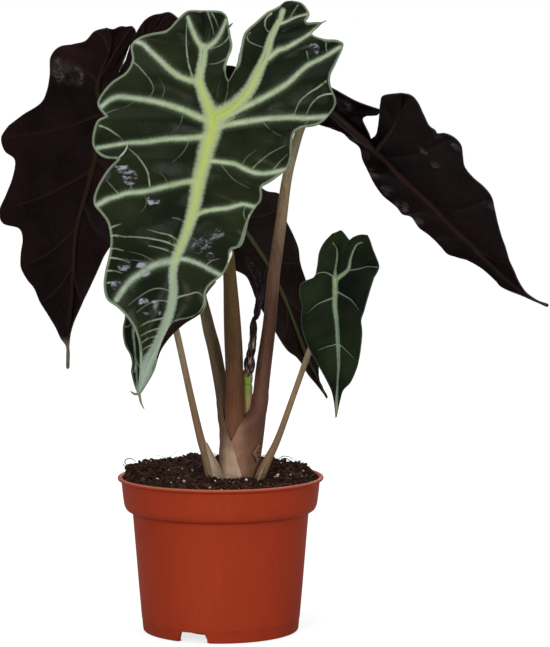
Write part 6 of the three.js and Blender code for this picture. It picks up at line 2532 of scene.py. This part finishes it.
@dataclass
class Studio:
    """A pale floor, soft pale lights and the camera of the photograph's angle.

    Fields: the camera's sensor and lens in millimetres; eye, where it stands, in metres; tilt,
    how far it looks down; pan, how far it looks to the right, both in degrees; and drop, how
    far its picture is moved, in picture widths; lamps, the name, place, width and height,
    power and colour of each soft box; aim, what they face; sun, its power and its angle in
    degrees; room, how strongly the room lights the plant.
    """

    sensor: float = 36.0
    lens: float = 165.8
    eye: tuple[float, float, float] = (0.00065, -1.469, 0.2941)
    tilt: float = 3.24
    pan: float = 1.21
    drop: float = -0.1
    lamps: tuple[tuple, ...] = (
        ("left_box", (-0.6, -1.5, 0.75), (0.3, 0.6), 10.5, (1, 0.99, 0.97)),
        ("right_box", (0.8, -1.4, 0.7), (0.26, 0.55), 7.5, (1, 0.99, 0.97)),
        ("back_box", (0.3, 1.5, 0.8), (0.5, 0.6), 4.0, (1, 1, 1)),
    )
    aim: tuple[float, float, float] = (0.02, 0, 0.19)
    sun: Spot = (1.1, 60)
    room: float = 0.26

    def floor(self) -> None:
        """Lays the floor, pale to the eye and dimmer to the plant."""
        put_down()
        bpy.ops.mesh.primitive_plane_add(size=40, location=(0, 0, -0.0002))
        floor = bpy.context.object
        floor.name = "floor"
        b = Board("pale_floor")
        colour = b.blend(b.grain(1.5, 2), tone(168, 168, 168), tone(176, 176, 176))
        seen = b.add("ShaderNodeLightPath", {}, {}, "Is Camera Ray")
        light = b.blend(seen, tone(60, 60, 60), tone(255, 255, 255))
        floor.data.materials.append(b.finish({
            "Base Color": colour, "Roughness": 0.9, "Emission Color": light,
            "Emission Strength": 0.76,
        }))

    def lamp(self, name: str, at: tuple[float, float, float], size: Spot, power: float,
             colour: tuple[float, float, float]) -> None:
        """Hangs one soft light that faces the plant.

        Args:
            name: the light's name.
            at: its place, in metres.
            size: its width and height, in metres.
            power: its power in watts.
            colour: its red, green and blue.
        """
        bpy.ops.object.light_add(type="AREA", location=at)
        light = bpy.context.object
        light.name = name
        light.data.shape = "RECTANGLE"
        light.data.size, light.data.size_y = size
        light.data.energy = power
        light.data.color = colour
        aim = Vector(self.aim) - Vector(at)
        light.rotation_euler = aim.to_track_quat("-Z", "Y").to_euler()

    def camera(self) -> None:
        """Sets up the camera: from a little above, aimed at the middle of the plant."""
        turn = (math.radians(90 - self.tilt), 0, -math.radians(self.pan))
        bpy.ops.object.camera_add(location=self.eye, rotation=turn)
        camera = bpy.context.object
        data = camera.data
        data.sensor_fit = "HORIZONTAL"
        data.sensor_width = self.sensor
        data.lens = self.lens
        data.shift_y = self.drop
        data.clip_start = 0.01
        bpy.context.scene.camera = camera

    def world(self) -> None:
        """Surrounds the plant with pale light, dimmer to the plant than to the eye."""
        world = bpy.data.worlds.new("pale_room")
        bpy.context.scene.world = world
        world.use_nodes = True
        tree = world.node_tree
        tree.nodes.clear()
        seen = tree.nodes.new("ShaderNodeLightPath")
        dim, bright = (tree.nodes.new("ShaderNodeBackground") for _ in range(2))
        dim.inputs["Color"].default_value = (0.94, 0.97, 1.0, 1)
        dim.inputs["Strength"].default_value = self.room
        bright.inputs["Color"].default_value = (1, 1, 1, 1)
        bright.inputs["Strength"].default_value = 1.0
        mix = tree.nodes.new("ShaderNodeMixShader")
        output = tree.nodes.new("ShaderNodeOutputWorld")
        tree.links.new(seen.outputs["Is Camera Ray"], mix.inputs[0])
        tree.links.new(dim.outputs[0], mix.inputs[1])
        tree.links.new(bright.outputs[0], mix.inputs[2])
        tree.links.new(mix.outputs[0], output.inputs["Surface"])

    def build(self) -> None:
        """Sets up the studio."""
        self.floor()
        self.world()
        for lamp in self.lamps:
            self.lamp(*lamp)
        bpy.ops.object.light_add(type="SUN", location=(0, 0, 2))
        sun = bpy.context.object
        sun.name = "sky_panel"
        sun.data.energy = self.sun[0]
        sun.data.angle = math.radians(self.sun[1])
        self.camera()
        scene = bpy.context.scene
        scene.view_settings.view_transform = "Standard"
        scene.view_settings.look = "None"


def main() -> None:
    """Builds the plant in its pot and reports each piece."""
    logging.basicConfig(level=logging.INFO, format="%(name)s %(message)s")
    NurseryPot().build()
    SoilBed().build()
    Stalks().build()
    Sheaths().build()
    YoungShoot().build()
    patches = tuple(LEAF_A.on(*spot) for spot in WET_SPOTS)
    slanted = tuple(LEAF_A.on(*spot) for spot in SLANTED_SPOTS)
    upper = UpperFace(patches=patches, slanted=slanted).material()
    pale = Margin().material()
    small = UpperFace("blade_upper_small", tone(13, 18, 10), tone(30, 41, 18),
                      tone(118, 134, 116), tone(72, 88, 70), tone(150, 168, 98),
                      tone(78, 92, 76), bright=tone(136, 150, 132), hem=0.0007,
                      polish=0.1).material()
    hidden = UpperFace("blade_upper_f", tone(18, 24, 16), tone(30, 42, 24),
                       tone(150, 164, 144), tone(96, 112, 92), tone(158, 176, 112),
                       tone(122, 136, 114), bright=tone(150, 164, 144), hem=0.001,
                       polish=0.1).material()
    dark = Margin("blade_margin_dark", tone(44, 34, 30), tone(24, 16, 16)).material()
    tailed = Margin("blade_margin_b", tone(44, 34, 30), tone(24, 16, 16), 0.161).material()
    rims = {"blade_b": tailed, "blade_c": dark, "blade_d": dark}
    thin = Margin("blade_margin_small", tone(70, 84, 70), tone(42, 50, 40)).material()
    under = UnderFace().material()
    backs = {
        "blade_b": UnderFace("blade_under_b", rib=tone(42, 28, 23), stem=tone(56, 41, 28), tail=0.161,
                             patches=tuple(LEAF_B.on(*spot) for spot in WET_LEFT)),
        "blade_c": UnderFace("blade_under_c", tone(17, 10, 11), tone(35, 20, 21),
                             tone(42, 26, 25), tone(58, 38, 34), tone(34, 22, 21),
                             patches=tuple(LEAF_C.on(*spot) for spot in WET_RIGHT)),
        "blade_d": UnderFace("blade_under_d", tone(24, 17, 15), tone(41, 30, 27),
                             tone(66, 66, 42), tone(84, 88, 56), tone(52, 40, 34)),
    }
    for leaf in (LEAF_A, LEAF_B, LEAF_C, LEAF_D, LEAF_E, LEAF_F):
        back = backs[leaf.name].material() if leaf.name in backs else under
        if leaf.name in ("blade_e", "blade_f"):
            faces = (small if leaf is LEAF_E else hidden, back, thin)
        else:
            faces = (upper, back, rims.get(leaf.name, pale))
        front = "leaf_upper_front" if leaf.facing is Facing.UPPER else "leaf_under_front"
        node = leaf.name.replace("blade", "leaf")
        dress(leaf.build(faces), *faces, slot=front, stands_for=(node,))
    LeafTrims().build()
    Studio().build()
    put_down()


if __name__ == "__main__":
    main()
